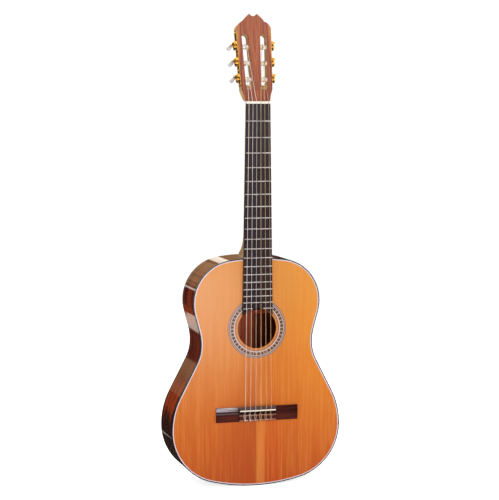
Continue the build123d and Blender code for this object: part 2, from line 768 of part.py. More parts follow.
def board_half_width(height):
    """Half the fingerboard's width at a height."""
    return NUT_WIDTH / 2 + board_slope * (nut_z - height) / 2


with BuildPart() as fingerboard:
    with BuildSketch(at_depth(-BOARD_T)):
        with BuildLine():
            Polyline(
                (-board_half_width(nut_z), nut_z),
                (board_half_width(nut_z), nut_z),
                (board_half_width(board_end_z), board_end_z),
                (-board_half_width(board_end_z), board_end_z),
                close=True,
            )
        make_face()
        with Locations((0, hole_z)):
            Circle(board_end_r, mode=Mode.SUBTRACT)
    extrude(amount=-BOARD_T)
    with BuildSketch(at_depth(-BOARD_T)):
        for height in fret_heights:
            with Locations((0, height)):
                Rectangle(2 * JOINT_WIDTH, TANG_W)
    extrude(amount=-TANG_H, mode=Mode.SUBTRACT)
save(fingerboard.part, "fingerboard")

with BuildPart() as frets:
    for height in fret_heights:
        with BuildSketch(section_plane(FRONT_Y - BOARD_T, height)):
            with BuildLine():
                ThreePointArc((0, -FRET_W / 2), (FRET_H, 0), (0, FRET_W / 2))
                Polyline(
                    (0, FRET_W / 2),
                    (0, TANG_W / 2),
                    (-TANG_H, TANG_W / 2),
                    (-TANG_H, -TANG_W / 2),
                    (0, -TANG_W / 2),
                    (0, -FRET_W / 2),
                )
            make_face()
        extrude(amount=board_half_width(height) - FRET_INSET, both=True)
    with BuildSketch(at_depth(-BOARD_T - 2 * FRET_H)):
        with Locations((0, fret_heights[-1])):
            Rectangle(last_fret_gap, 2 * FRET_W)
    extrude(amount=-BOARD_T, mode=Mode.SUBTRACT)
save(frets.part, "frets")

# ---- Neck, heel, foot and slotted head, carved from one piece ----


def neck_section(half_width, depth, power):
    """Section of the neck, drawn into the open line block: flat in front, rounded behind."""
    rounded = []
    for step in range(1, SECTION_STEPS):
        turn = math.pi * step / SECTION_STEPS
        across = math.copysign(abs(math.cos(turn)) ** (2 / power), math.cos(turn))
        rounded.append((half_width * across, depth * math.sin(turn) ** (2 / power)))
    Spline((half_width, 0), *rounded, (-half_width, 0))
    Line((-half_width, 0), (half_width, 0))


def at_height(height):
    """Level plane with its own Y running backward from the soundboard's front."""
    return Plane(origin=(0, FRONT_Y, height), x_dir=(1, 0, 0), z_dir=(0, 0, 1))


def head_plane(depth):
    """Plane parallel to the head's face, at a depth behind the veneer's face; extrudes backward."""
    return Plane(
        origin=head_point(0, 0, depth),
        x_dir=(1, 0, 0),
        z_dir=head_point(0, 0, 0) - head_point(0, 0, 1),
    )


blend_top_z = joint_z + HEEL_START + HEEL_RISE
head_side_slope = math.tan(splay)


def head_side(rise):
    """Half width of the head along its straight side."""
    return HEAD_SIDE_X + head_side_slope * rise


with BuildPart() as heel_shape:
    for part_way in HEEL_STATIONS:
        height = joint_z + HEEL_START + HEEL_RISE * part_way
        blend = (1 - max(part_way, 0)) ** 2
        reach = SHAFT_DEPTH_HEEL + (HEEL_REACH - SHAFT_DEPTH_HEEL) * blend
        power = SHAFT_POWER + (HEEL_POWER - SHAFT_POWER) * blend
        with BuildSketch(at_height(height)):
            with BuildLine():
                neck_section(board_half_width(max(height, joint_z)), reach, power)
            make_face()
    loft(ruled=True)

with BuildPart() as heel_cap:
    add(heel_shape.part)
    add(envelope.part, mode=Mode.SUBTRACT)
    split(bisect_by=at_depth(NECK_DEPTH), keep=Keep.TOP)
    split(bisect_by=at_depth(NECK_DEPTH - HEEL_CAP_T), keep=Keep.BOTTOM)
save(heel_cap.part, "heel_cap")

with BuildPart() as foot:
    with BuildSketch(at_depth(0)):
        with Locations((0, joint_z)):
            Rectangle(FOOT_W, 2 * FOOT_LENGTH)
    extrude(amount=-full_depth)
    add(rib_space.part, mode=Mode.INTERSECT)

with BuildPart() as rib_web:
    with BuildSketch(at_depth(BINDING_H)):
        with BuildLine():
            half_outline(0)
            mirror(about=Plane.YZ)
        make_face()
        with BuildLine():
            half_outline(RIB_T)
            mirror(about=Plane.YZ)
        make_face(mode=Mode.SUBTRACT)
        with Locations((0, joint_z)):
            Rectangle(WEB_W, 4 * RIB_T, mode=Mode.INTERSECT)
    extrude(amount=-full_depth)
    split(bisect_by=back_plane.offset(-BINDING_H), keep=Keep.BOTTOM)

with BuildPart() as shaft:
    with BuildSketch(at_height(blend_top_z)):
        with BuildLine():
            neck_section(board_half_width(blend_top_z), SHAFT_DEPTH_HEEL, SHAFT_POWER)
        make_face()
    with BuildSketch(at_height(nut_z + HEAD_BLEND)):
        with BuildLine():
            neck_section(NUT_WIDTH / 2, SHAFT_DEPTH_NUT, SHAFT_POWER)
        make_face()
    loft()
    split(bisect_by=head_plane(VENEER_T), keep=Keep.BOTTOM)


def head_outline():
    """Treble half of the head's outline, drawn into the open line block."""
    side_start = (head_side(HEAD_SIDE_START), HEAD_SIDE_START)
    side_end = (head_side(HEAD_SIDE_END), HEAD_SIDE_END)
    step_low = (CREST_STEP[0] - CREST_STEP_W, CREST_STEP[1])
    step_high = (step_low[0], step_low[1] + CREST_STEP_H)
    Line((0, HEAD_WAIST[1]), HEAD_WAIST)
    ThreePointArc(HEAD_WAIST, HEAD_FLARE, side_start)
    Line(side_start, side_end)
    ThreePointArc(side_end, CREST_SHOULDER, CREST_STEP)
    Line(CREST_STEP, step_low)
    Line(step_low, step_high)
    ThreePointArc(step_high, CREST_MID, CREST_HORN)
    ThreePointArc(CREST_HORN, CREST_DIP, (0, CREST_NOTCH))


def slot_frame(side, rise):
    """Place on a slot's centre line, turned to run along it."""
    x = side * (head_side(rise) - SLOT_WALL - SLOT_W / 2)
    return Location((x, rise), -side * HEAD_SPLAY)


slot_middle = (SLOT_THROUGH + SLOT_END) / 2
ramp_centre = SLOT_START + SLOT_W / 2

with BuildPart() as head_slots:
    with BuildSketch(head_plane(-VENEER_T)):
        for side in (1, -1):
            with Locations(slot_frame(side, slot_middle)):
                SlotOverall(SLOT_END - SLOT_THROUGH, SLOT_W, rotation=90)
    extrude(amount=-2 * HEAD_T)
    with BuildSketch(head_plane(0)):
        for side in (1, -1):
            with Locations(slot_frame(side, ramp_centre)):
                Circle(SLOT_W / 2)
            with Locations(slot_frame(side, (ramp_centre + slot_middle) / 2)):
                Rectangle(SLOT_W, slot_middle - ramp_centre)
    extrude(
        amount=RAMP_REACH,
        dir=head_point(0, 1, math.tan(math.radians(RAMP_ANGLE))) - head_point(0, 0, 0),
    )


def tuner_plane(row, lift):
    """Plane on a treble roller's axis: X along the head's side, Y forward, Z out of the side."""
    rise = row_heights[row]
    along = head_point(math.sin(splay), math.cos(splay), 0) - head_point(0, 0, 0)
    outward = head_point(math.cos(splay), -math.sin(splay), 0) - head_point(0, 0, 0)
    seat = head_point(head_side(rise), rise, ROLLER_DEPTH)
    return Plane(origin=seat + outward * (PLATE_T + lift), x_dir=along, z_dir=outward)


wall_inner = -PLATE_T - SLOT_WALL
web_face = wall_inner - SLOT_W

with BuildPart() as roller_holes:
    for row in range(ROW_COUNT):
        with BuildSketch(tuner_plane(row, 0)):
            Circle(ROLLER_D / 2 + RUN)
        extrude(amount=web_face)
        with BuildSketch(tuner_plane(row, web_face)):
            Circle(STUB_D / 2 + RUN)
        extrude(amount=-STUB_L - GUARD)
    with BuildSketch(tuner_plane(0, -PLATE_T)):
        for place in SCREW_PLACES:
            with Locations((PLATE_START + place - ROW_START, 0)):
                Circle(SCREW_D / 2)
    extrude(amount=-SCREW_L)

with BuildPart() as head:
    with BuildSketch(head_plane(VENEER_T)):
        with BuildLine():
            head_outline()
            mirror(about=Plane.YZ)
        make_face()
    extrude(amount=-HEAD_T)
    lower_edges = head.edges().filter_by(Axis.X).group_by(Axis.Z)[0]
    fillet(lower_edges, radius=HEEL_OF_HEAD_R)

with BuildPart() as neck:
    add(heel_shape.part)
    add(envelope.part, mode=Mode.SUBTRACT)
    split(bisect_by=at_depth(NECK_DEPTH - HEEL_CAP_T), keep=Keep.TOP)
    add(foot.part)
    add(rib_web.part)
    add(shaft.part)
    add(head.part)
    add(head_slots.part, mode=Mode.SUBTRACT)
    add(roller_holes.part, mode=Mode.SUBTRACT)
    mirror(roller_holes.part, about=Plane.YZ, mode=Mode.SUBTRACT)
    for number in range(1, string_count + 1):
        add(string_tube(number, GROOVE), mode=Mode.SUBTRACT)
save(neck.part, "neck")

with BuildPart() as head_veneer:
    with BuildSketch(head_plane(0)):
        with BuildLine():
            head_outline()
            mirror(about=Plane.YZ)
        make_face()
        with Locations((0, 0)):
            Rectangle(2 * HEAD_SIDE_X, 2 * HEAD_WAIST[1], mode=Mode.SUBTRACT)
    extrude(amount=-VENEER_T)
    split(bisect_by=Plane.XY.offset(nut_z + NUT_T), keep=Keep.TOP)
    add(head_slots.part, mode=Mode.SUBTRACT)
    for number in range(1, string_count + 1):
        add(string_tube(number, GROOVE), mode=Mode.SUBTRACT)
save(head_veneer.part, "head_veneer")

nut_h = nut_string_h + min(STRING_D) / 2 - NUT_BELOW_CENTRE

with BuildPart() as nut:
    with BuildSketch(section_plane(FRONT_Y, nut_z)):
        with BuildLine():
            Polyline(
                (0, 0),
                (nut_h, 0),
                (nut_h, NUT_BREAK),
                (nut_h - NUT_BACK_DROP, NUT_T),
                (0, NUT_T),
                close=True,
            )
        make_face()
    extrude(amount=NUT_WIDTH / 2, both=True)
    for number in range(1, string_count + 1):
        add(string_tube(number, REST), mode=Mode.SUBTRACT)
save(nut.part, "nut")

# ---- Tuning machines: one plate a side, and a roller, gear, worm and button for each string ----
lug_centre = GEAR_LIFT + GEAR_T / 2

with BuildPart() as tuner_plate_treble:
    with BuildSketch(tuner_plane(0, -PLATE_T)):
        with Locations((PLATE_START + PLATE_L / 2 - ROW_START, 0)):
            SlotOverall(PLATE_L, PLATE_W)
        for row in range(ROW_COUNT):
            with Locations((row * ROW_PITCH, 0)):
                Circle(SPINDLE_D / 2 + RUN, mode=Mode.SUBTRACT)
        for place in SCREW_PLACES:
            with Locations((PLATE_START + place - ROW_START, 0)):
                Circle(SCREW_D / 2, mode=Mode.SUBTRACT)
    extrude(amount=PLATE_T)
    for row in range(ROW_COUNT):
        seat = tuner_plane(row, 0)
        for end in (1, -1):
            lug_face = seat.origin + seat.y_dir * end * LUG_OFFSET
            with BuildSketch(Plane(origin=lug_face, x_dir=seat.x_dir, z_dir=seat.y_dir * end)):
                with Locations((AXES_GAP, -end * lug_centre)):
                    Circle(LUG_R)
                with Locations((AXES_GAP, -end * lug_centre / 2)):
                    Rectangle(2 * LUG_R, lug_centre)
                with Locations((AXES_GAP, -end * lug_centre)):
                    Circle(WORM_CORE_D / 2 + RUN, mode=Mode.SUBTRACT)
            extrude(amount=-LUG_T)
save(tuner_plate_treble.part, "tuner_plate_treble")

with BuildPart() as tuner_plate_bass:
    mirror(tuner_plate_treble.part, about=Plane.YZ)
save(tuner_plate_bass.part, "tuner_plate_bass")

with BuildPart() as plate_screws:
    with BuildSketch(tuner_plane(0, 0)):
        for place in SCREW_PLACES:
            with Locations((PLATE_START + place - ROW_START, 0)):
                Circle(SCREW_HEAD_D / 2)
    extrude(amount=SCREW_HEAD_T)
    fillet(plate_screws.faces().group_by(Axis.X)[-1].edges(), radius=SCREW_HEAD_ROUND)
    with BuildSketch(tuner_plane(0, 0)):
        for place in SCREW_PLACES:
            with Locations((PLATE_START + place - ROW_START, 0)):
                Circle(SCREW_D / 2)
    extrude(amount=-PLATE_T - SCREW_L)
    mirror(plate_screws.part, about=Plane.YZ)
save(plate_screws.part, "plate_screws")


def make_roller(row):
    """Roller with its stub, its spindle through the plate and a hole for the string."""
    with BuildPart() as roller:
        with BuildSketch(tuner_plane(row, web_face + GUARD)):
            Circle(ROLLER_D / 2)
        extrude(amount=-web_face - PLATE_T - 2 * GUARD)
        with BuildSketch(tuner_plane(row, web_face + GUARD)):
            Circle(STUB_D / 2)
        extrude(amount=-STUB_L)
        with BuildSketch(tuner_plane(row, -PLATE_T - GUARD)):
            Circle(SPINDLE_D / 2)
        extrude(amount=PLATE_T + GUARD + GEAR_LIFT + GEAR_T)
        across = tuner_plane(row, (web_face + wall_inner) / 2)
        with BuildSketch(Plane(origin=across.origin, x_dir=across.z_dir, z_dir=across.y_dir)):
            Circle(STRING_HOLE_D / 2)
        extrude(amount=ROLLER_D, both=True, mode=Mode.SUBTRACT)
        with BuildSketch(tuner_plane(row, GEAR_LIFT + GEAR_T)):
            Circle(GEAR_SCREW_D / 2)
        extrude(amount=-GEAR_SCREW_L, mode=Mode.SUBTRACT)
    return roller.part


def make_gear(row):
    """Gear with its hub, and the screw that holds it on the spindle."""
    with BuildPart() as gear:
        with BuildSketch(tuner_plane(row, GEAR_LIFT)):
            Circle(GEAR_ROOT_R)
            with PolarLocations(0, GEAR_TEETH, start_angle=180 / GEAR_TEETH):
                Polygon(
                    (GEAR_ROOT_R - TOOTH_SUNK, -TOOTH_ROOT_W / 2),
                    (GEAR_TIP_R, -TOOTH_TIP_W / 2),
                    (GEAR_TIP_R, TOOTH_TIP_W / 2),
                    (GEAR_ROOT_R - TOOTH_SUNK, TOOTH_ROOT_W / 2),
                    align=None,
                )
        extrude(amount=GEAR_T)
        with BuildSketch(tuner_plane(row, GUARD)):
            Circle(HUB_D / 2)
        extrude(amount=GEAR_LIFT - GUARD)
        with BuildSketch(tuner_plane(row, 0)):
            Circle(SPINDLE_D / 2)
        extrude(amount=2 * GEAR_LIFT + GEAR_T, mode=Mode.SUBTRACT)
        with BuildSketch(tuner_plane(row, GEAR_LIFT + GEAR_T)):
            Circle(GEAR_SCREW_HEAD_D / 2)
        extrude(amount=SCREW_HEAD_T)
        with BuildSketch(tuner_plane(row, GEAR_LIFT + GEAR_T)):
            Circle(GEAR_SCREW_D / 2)
        extrude(amount=-GEAR_SCREW_L)
    return gear.part


def worm_plane(row, backward):
    """Plane across a treble worm's axis, at a distance behind the roller's axis; extrudes back."""
    seat = tuner_plane(row, lug_centre)
    return Plane(
        origin=seat.origin + seat.x_dir * AXES_GAP - seat.y_dir * backward,
        x_dir=seat.x_dir,
        z_dir=-seat.y_dir,
    )


button_start = BUTTON_CENTRE - BUTTON_L / 2


def make_worm(row):
    """Worm shaft between its lugs, with a head in front, a collar behind and a tail in the button."""
    with BuildPart() as worm:
        with BuildSketch(worm_plane(row, -LUG_OFFSET - GUARD)):
            Circle(WORM_CORE_D / 2)
        extrude(amount=LUG_OFFSET + GUARD + button_start + WORM_IN_BUTTON)
        with BuildSketch(worm_plane(row, -LUG_OFFSET - GUARD)):
            Circle(COLLAR_D / 2)
        extrude(amount=-COLLAR_T)
        with BuildSketch(worm_plane(row, LUG_OFFSET + GUARD)):
            Circle(COLLAR_D / 2)
        extrude(amount=COLLAR_T)
    return worm.part


def make_button(row):
    """Oval button on the shaft's tail, its broad face turned from the plate."""
    start = worm_plane(row, BUTTON_CENTRE)
    turn = math.radians(BUTTON_TURN)
    broad = start.x_dir * math.sin(turn) + tuner_plane(row, 0).z_dir * math.cos(turn)
    with BuildPart() as button:
        with BuildSketch(Plane(origin=start.origin, x_dir=start.z_dir, z_dir=broad)):
            Ellipse(BUTTON_L / 2, BUTTON_W / 2)
        extrude(amount=BUTTON_T / 2, both=True)
        fillet(button.edges(), radius=BUTTON_ROUND)
        with BuildSketch(worm_plane(row, 0)):
            Circle(WORM_CORE_D / 2)
        extrude(amount=button_start + WORM_IN_BUTTON, mode=Mode.SUBTRACT)
    return button.part


makers = {"roller": make_roller, "gear": make_gear, "worm": make_worm, "button": make_button}
for row in range(ROW_COUNT):
    for kind, maker in makers.items():
        treble_piece = maker(row)
        with BuildPart() as bass_piece:
            mirror(treble_piece, about=Plane.YZ)
        save(treble_piece, f"{kind}_{row + 1}")
        save(bass_piece.part, f"{kind}_{string_count - row}")
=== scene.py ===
# %% [markdown]
# # Classical guitar
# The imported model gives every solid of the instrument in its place. This lesson dresses those solids
# in wood, bone, gilt brass and pearl, adds the small pieces that are easier to make as surfaces, such
# as the turns of string on the rollers, and sets a plain studio round them.

# %% Load the frame
import json
import math

import bpy
import numpy as np
from mathutils import Matrix, Vector


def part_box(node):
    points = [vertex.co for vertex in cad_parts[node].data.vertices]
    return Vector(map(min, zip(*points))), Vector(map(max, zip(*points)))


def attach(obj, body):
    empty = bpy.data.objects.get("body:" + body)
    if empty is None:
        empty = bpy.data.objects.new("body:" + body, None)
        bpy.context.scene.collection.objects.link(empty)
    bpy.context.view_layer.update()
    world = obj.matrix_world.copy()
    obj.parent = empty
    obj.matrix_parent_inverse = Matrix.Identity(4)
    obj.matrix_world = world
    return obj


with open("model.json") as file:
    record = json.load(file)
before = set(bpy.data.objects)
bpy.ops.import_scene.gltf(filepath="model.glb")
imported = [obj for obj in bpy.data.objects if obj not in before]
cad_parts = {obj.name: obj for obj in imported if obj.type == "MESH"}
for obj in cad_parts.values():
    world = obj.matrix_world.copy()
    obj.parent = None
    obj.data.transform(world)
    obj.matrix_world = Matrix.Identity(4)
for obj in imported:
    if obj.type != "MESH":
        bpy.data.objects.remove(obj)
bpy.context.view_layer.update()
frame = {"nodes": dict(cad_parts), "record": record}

scene = bpy.context.scene
record = frame["record"]
joints = {joint["name"]: joint for joint in record["behaviour"]["joints"]}

# %% [markdown]
# ## Measuring from the frame
# A luthier marks out from the centre line, the soundhole and the bridge. The same places are read from
# the solids here, so every pattern stays in register if a size changes. The back is a thin board that
# leans a little, so a straight line through its corners gives the middle of its thickness.

# %% Places on the instrument
def vertices(name):
    """All corners of a solid's mesh, one row each."""
    mesh = frame["nodes"][name].data
    flat = np.empty(len(mesh.vertices) * 3)
    mesh.vertices.foreach_get("co", flat)
    return flat.reshape(-1, 3)


mosaic_low, mosaic_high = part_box("rosette_mosaic")
rings_low, rings_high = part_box("rosette_rings")
trim_low, trim_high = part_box("tie_block_trim")
_, top_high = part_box("soundboard_treble")
_, bridge_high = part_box("bridge")
hole_z = (rings_low[2] + rings_high[2]) / 2
rings_in = 0.0465
mosaic_in = 0.0510
rosette_r = (rings_high[0] - rings_low[0]) / 2
mosaic_r = (mosaic_high[0] - mosaic_low[0]) / 2
body_top = top_high[2]
back_corners = vertices("back_treble")
back_slope, back_foot = np.polyfit(back_corners[:, 2], back_corners[:, 1], 1)
string_names = [f"string_{number}" for number in range(1, 7)]
string_widths = [0.00071, 0.00082, 0.00102, 0.00074, 0.00089, 0.00109]
print("soundhole height", round(hole_z, 4), "rosette radius", round(rosette_r, 4))
print("middle of the back at y", round(back_foot, 5), "plus z times", round(back_slope, 5))

# %% [markdown]
# ## Shader sums in plain Python
# A wood finish is a long sum of waves and noises. Wiring each sum by hand hides the idea, so one
# small class wraps an output socket: adding or multiplying two of them adds a Math node.


# %% A socket that takes part in sums
class Signal:
    """One shader output. Each operator on it adds a Math node to the finish it belongs to."""

    def __init__(self, finish, socket):
        self.finish = finish
        self.socket = socket

    def maths(self, operation, *others):
        return self.finish.node("ShaderNodeMath", {"operation": operation}, self, *others)

    def __add__(self, other):
        return self.maths("ADD", other)

    __radd__ = __add__

    def __mul__(self, other):
        return self.maths("MULTIPLY", other)

    __rmul__ = __mul__

    def __sub__(self, other):
        return self.maths("SUBTRACT", other)

    def __rsub__(self, other):
        return self.finish.node("ShaderNodeMath", {"operation": "SUBTRACT"}, other, self)

    def __truediv__(self, other):
        return self.maths("DIVIDE", other)

    def __pow__(self, other):
        return self.maths("POWER", other)

    def size(self):
        return self.maths("ABSOLUTE")

    def sine(self):
        return self.maths("SINE")

    def part(self):
        return self.maths("FRACT")

    def step(self, low, high):
        """0 below low, 1 above high, and a smooth rise between."""
        return self.finish.node(
            "ShaderNodeMapRange",
            {"interpolation_type": "SMOOTHSTEP"},
            **{"Value": self, "From Min": low, "From Max": high},
        )

    def band(self, centre, half, soft):
        """1 within half of centre, 0 outside, with soft edges."""
        return 1 - (self - centre).size().step(half - soft, half + soft)


# %% A node tree that is written as sums
class Recipe:
    """A node tree with its place split into x, y and z, and short names for common nodes."""

    def __init__(self, tree, coordinates):
        self.tree = tree
        self.place = self.node("ShaderNodeTexCoord", {}, out=coordinates)
        parts = self.node_of("ShaderNodeSeparateXYZ", {}, self.place)
        self.x = Signal(self, parts.outputs[0])
        self.y = Signal(self, parts.outputs[1])
        self.z = Signal(self, parts.outputs[2])

    def plug(self, socket, value):
        if isinstance(value, Signal):
            self.tree.links.new(value.socket, socket)
        elif hasattr(socket.default_value, "__len__") and not hasattr(value, "__len__"):
            socket.default_value = [value] * len(socket.default_value)
        else:
            socket.default_value = value

    def node_of(self, kind, settings, *inputs, **named):
        made = self.tree.nodes.new(kind)
        for name, value in settings.items():
            if name == "stops":
                ramp = made.color_ramp
                while len(ramp.elements) < len(value):
                    ramp.elements.new(1.0)
                for element, (place, colour) in zip(ramp.elements, value):
                    element.position = place
                    element.color = (*colour, 1.0)
            else:
                setattr(made, name, value)
        for socket, value in zip(made.inputs, inputs):
            self.plug(socket, value)
        for name, value in named.items():
            self.plug(made.inputs[name], value)
        return made

    def node(self, kind, settings, *inputs, out=0, **named):
        return Signal(self, self.node_of(kind, settings, *inputs, **named).outputs[out])

    def at(self, x=None, y=None, z=None):
        """A vector from three Signals or numbers."""
        return self.node("ShaderNodeCombineXYZ", {}, x or 0.0, y or 0.0, z or 0.0)

    def noise(self, where, scale, detail=3.0, rough=0.55):
        return self.node(
            "ShaderNodeTexNoise", {}, Vector=where, Scale=scale, Detail=detail, Roughness=rough
        )

    def ramp(self, amount, *stops):
        return self.node("ShaderNodeValToRGB", {"stops": stops}, amount)

    def mix(self, amount, first, second, blend="MIX"):
        """Colour first where amount is 0 and second where it is 1."""
        made = self.tree.nodes.new("ShaderNodeMix")
        made.data_type = "RGBA"
        made.blend_type = blend
        sockets = made.inputs[0], made.inputs[6], made.inputs[7]
        for socket, value in zip(sockets, (amount, first, second)):
            self.plug(socket, value if isinstance(value, (Signal, float, int)) else (*value, 1.0))
        return Signal(self, made.outputs[2])


# %% A finish: one material and what feeds it
class Finish(Recipe):
    """A Principled material whose varying inputs are built from Signals."""

    def __init__(self, name, **constants):
        self.material = bpy.data.materials.new(name)
        self.material.use_nodes = True
        self.shader = self.material.node_tree.nodes["Principled BSDF"]
        for socket, value in constants.items():
            self.shader.inputs[socket.replace("_", " ")].default_value = value
        super().__init__(self.material.node_tree, "Object")

    def colour(self, value):
        self.plug(self.shader.inputs["Base Color"], value)

    def rough(self, value):
        self.plug(self.shader.inputs["Roughness"], value)

    def relief(self, height, depth):
        bump = self.node("ShaderNodeBump", {}, out="Normal", Height=height, Distance=depth, Strength=1.0)
        self.tree.links.new(bump.socket, self.shader.inputs["Normal"])


def srgb(red, green, blue):
    """A colour as seen on a screen, 0 to 255, turned into the linear light that shaders use."""
    seen = np.array([red, green, blue]) / 255.0
    light = np.where(seen <= 0.04045, seen / 12.92, ((seen + 0.055) / 1.055) ** 2.4)
    return tuple(float(channel) for channel in light)


def dress(finish, *names):
    """Give CAD nodes a finish."""
    for name in names:
        solid = frame["nodes"][name]
        if not solid.material_slots:
            solid.data.materials.append(finish.material)
        for socket in solid.material_slots:
            socket.material = finish.material


print("shader tools ready")

# %% [markdown]
# ## Cedar soundboard
# Cedar is sawn on the quarter, so its year rings are straight fine lines along the neck. Two leaves
# of one board are opened like a book: the pattern mirrors at the seam. The colour drifts from golden
# to red brown, one leaf is darker, and a pale streak follows the seam.


# %% Cedar
def cedar_finish():
    wood = Finish("cedar", Coat_Weight=1.0, Coat_Roughness=0.06, Coat_IOR=1.5, Specular_IOR_Level=0.15)
    leaf = wood.x.size()
    up = wood.z / body_top
    drift = wood.noise(wood.at(wood.x * 3.0, 0.0, wood.z * 1.2), 5.0, 2.0)
    sway = wood.noise(wood.at(leaf * 4.0, 0.0, wood.z * 1.5), 3.0, 2.0) * 0.004
    rings = wood.noise(wood.at((leaf + sway) * 700.0, 0.0, wood.z * 5.0), 1.0, 3.0, 0.7)
    lines = ((leaf + sway) * 2.0 * math.pi / 0.0026 + drift * 9.0).sine() * 0.5 + 0.5
    fleck = wood.noise(wood.at(wood.x * 500.0, 0.0, wood.z * 60.0), 1.0, 2.0)
    wide = wood.noise(wood.at((leaf + sway) * 320.0, wood.x * 4.0, wood.z * 9.0), 1.0, 4.0, 0.65)
    base = wood.ramp(
        up + (drift - 0.5) * 0.3,
        (0.0, srgb(172, 72, 12)),
        (0.25, srgb(188, 90, 16)),
        (0.5, srgb(200, 110, 26)),
        (0.75, srgb(208, 130, 48)),
        (1.0, srgb(212, 142, 62)),
    )
    base = wood.mix(lines * 0.22 + rings * 0.2, base, srgb(160, 62, 10))
    base = wood.mix(wide.step(0.42, 0.68) * 0.22, base, srgb(226, 152, 74))
    # Painted sheen: the upper left of the soundboard is mixed towards a paler colour, as a soft
    # reflection would light it.
    painted_sheen_left = 1 - wood.x.step(-0.09, 0.05)
    base = wood.mix(painted_sheen_left * (up.step(0.1, 0.8) * 0.22), base, srgb(212, 144, 78))
    low = 1 - up.step(0.15, 0.6)
    dark_leaf = (1 - wood.x.step(-0.002, 0.0)) * wood.x.step(-0.1, -0.02) * low
    base = wood.mix(dark_leaf * 0.6, base, srgb(162, 62, 10))
    streak = wood.x.band(0.009, 0.009, 0.003) * low
    base = wood.mix(streak * 0.5, base, srgb(206, 128, 54))
    red = wood.x.band(0.036, 0.014, 0.012) * low
    base = wood.mix(red * 0.3, base, srgb(186, 62, 6))
    golden = wood.x.step(0.02, 0.16) * up.step(0.05, 0.7)
    base = wood.mix(golden * 0.4, base, srgb(228, 148, 50))
    base = wood.mix(fleck.step(0.55, 0.8) * 0.15, base, srgb(120, 44, 8))
    wood.colour(base)
    wood.rough(rings * 0.12 + 0.36)
    wood.relief(lines * 0.4 + rings * 0.6, 0.00002)
    return wood


cedar = cedar_finish()
dress(cedar, "soundboard_bass", "soundboard_treble")
print("cedar on both leaves")

# %% [markdown]
# ## Rosewood
# Ribs, back, bridge and head veneer are rosewood: red brown with ink-dark streaks that wander along
# the board, open pores, and a lacquer like glass. The streaks run along the bent rib, so on the ribs
# the pattern varies across their depth; on flat boards it varies across their width. One function
# makes all four. A small function each for the ribs, the back and the bridge lays colour on top:
# painted highlight bands and a painted shadow on the ribs, bare wood with painted light and shade
# inside the back, and dark end grain on the bridge.


# %% Rosewood
def rosewood_finish(name, across, along, tones, pitch=90.0, patches_at=lambda wood, streaks: ()):
    """across and along name the axes that the streaks vary over and run with.

    tones are the pale, middle, dark and ink colours. patches_at gives pairs of a mask and a colour
    that is laid over the streaks where the mask is 1."""
    pale, middle, dark, ink = tones
    wood = Finish(name, Coat_Weight=1.0, Coat_Roughness=0.03, Coat_IOR=1.5, Specular_IOR_Level=0.0)
    axes = {"x": wood.x.size(), "y": wood.y, "z": wood.z}
    side, run = axes[across], axes[along]
    wander = wood.noise(wood.at(side * 8.0, run * 2.2, 0.0), 2.0, 3.0) - 0.5
    streaks = wood.noise(wood.at((side + wander * 0.05) * pitch, run * 1.6, 0.3), 1.0, 4.0, 0.62)
    fine = wood.noise(wood.at((side + wander * 0.02) * 420.0, run * 8.0, 0.7), 1.0, 3.0, 0.6)
    pores = wood.noise(wood.at(side * 2600.0, run * 140.0, 0.0), 1.0, 1.0)
    patches = wood.noise(wood.at(side * 14.0, run * 9.0, 0.9), 1.0, 2.0)
    base = wood.ramp(
        streaks * 0.6 + fine * 0.2 + patches * 0.2,
        (0.3, ink),
        (0.43, dark),
        (0.54, middle),
        (0.68, pale),
    )
    base = wood.mix(pores.step(0.58, 0.72) * 0.45, base, ink)
    for mask, colour in patches_at(wood, streaks):
        base = wood.mix(mask, base, colour)
    wood.colour(base)
    wood.rough(fine * 0.15 + 0.35)
    wood.relief(fine * 0.5 - pores.step(0.58, 0.72) * 0.5, 0.00002)
    return wood


def rib_painted_light(wood, streaks):
    """Painted highlights: red brown bands at two heights. Painted shadow: nearly black round the lower
    bout.
    """
    # Painted highlights: two bands of reflected light across both ribs, broken up by noise.
    painted_highlight_bands = wood.z.band(0.195, 0.03, 0.012) + wood.z.band(0.365, 0.02, 0.008)
    grain = wood.noise(wood.at(0.0, wood.y * 160.0, wood.z * 3.0), 1.0, 2.0)
    # Painted shadow: the lower part of both ribs is laid over with near-black.
    painted_shadow_low = 1 - (wood.z + (grain - 0.5) * 0.12).step(0.145, 0.17)
    return (painted_highlight_bands * grain.step(0.42, 0.5) * 0.8, srgb(158, 58, 20)), (painted_shadow_low * 0.9, srgb(15, 6, 5))


def back_patches(wood, streaks, soft=0.0004):
    """Lighter bare wood on the inside, which lies in front of the middle of the board's thickness.
    Its colour is partly the bare wood's own and partly painted light: bright towards the left, and
    fading to painted shade towards the right.
    """
    inside = (wood.z * back_slope + back_foot - wood.y).step(-soft, soft)
    # Painted light and shade: the bright inside colour holds on the left and gives way to the dark
    # streaks on the right.
    painted_lit_side = 1 - wood.x.step(0.005, 0.03) * 0.9
    bare = wood.ramp(streaks, (0.35, srgb(196, 88, 44)), (0.65, srgb(240, 130, 74)))
    return ((inside * painted_lit_side * 0.9, bare),)


def bridge_patches(wood, streaks):
    """End grain drinks stain, so both ends of the bridge are nearly black."""
    ends = wood.x.size().step(bridge_high[0] - 0.0012, bridge_high[0] - 0.0006)
    return ((ends, srgb(12, 5, 5)),)


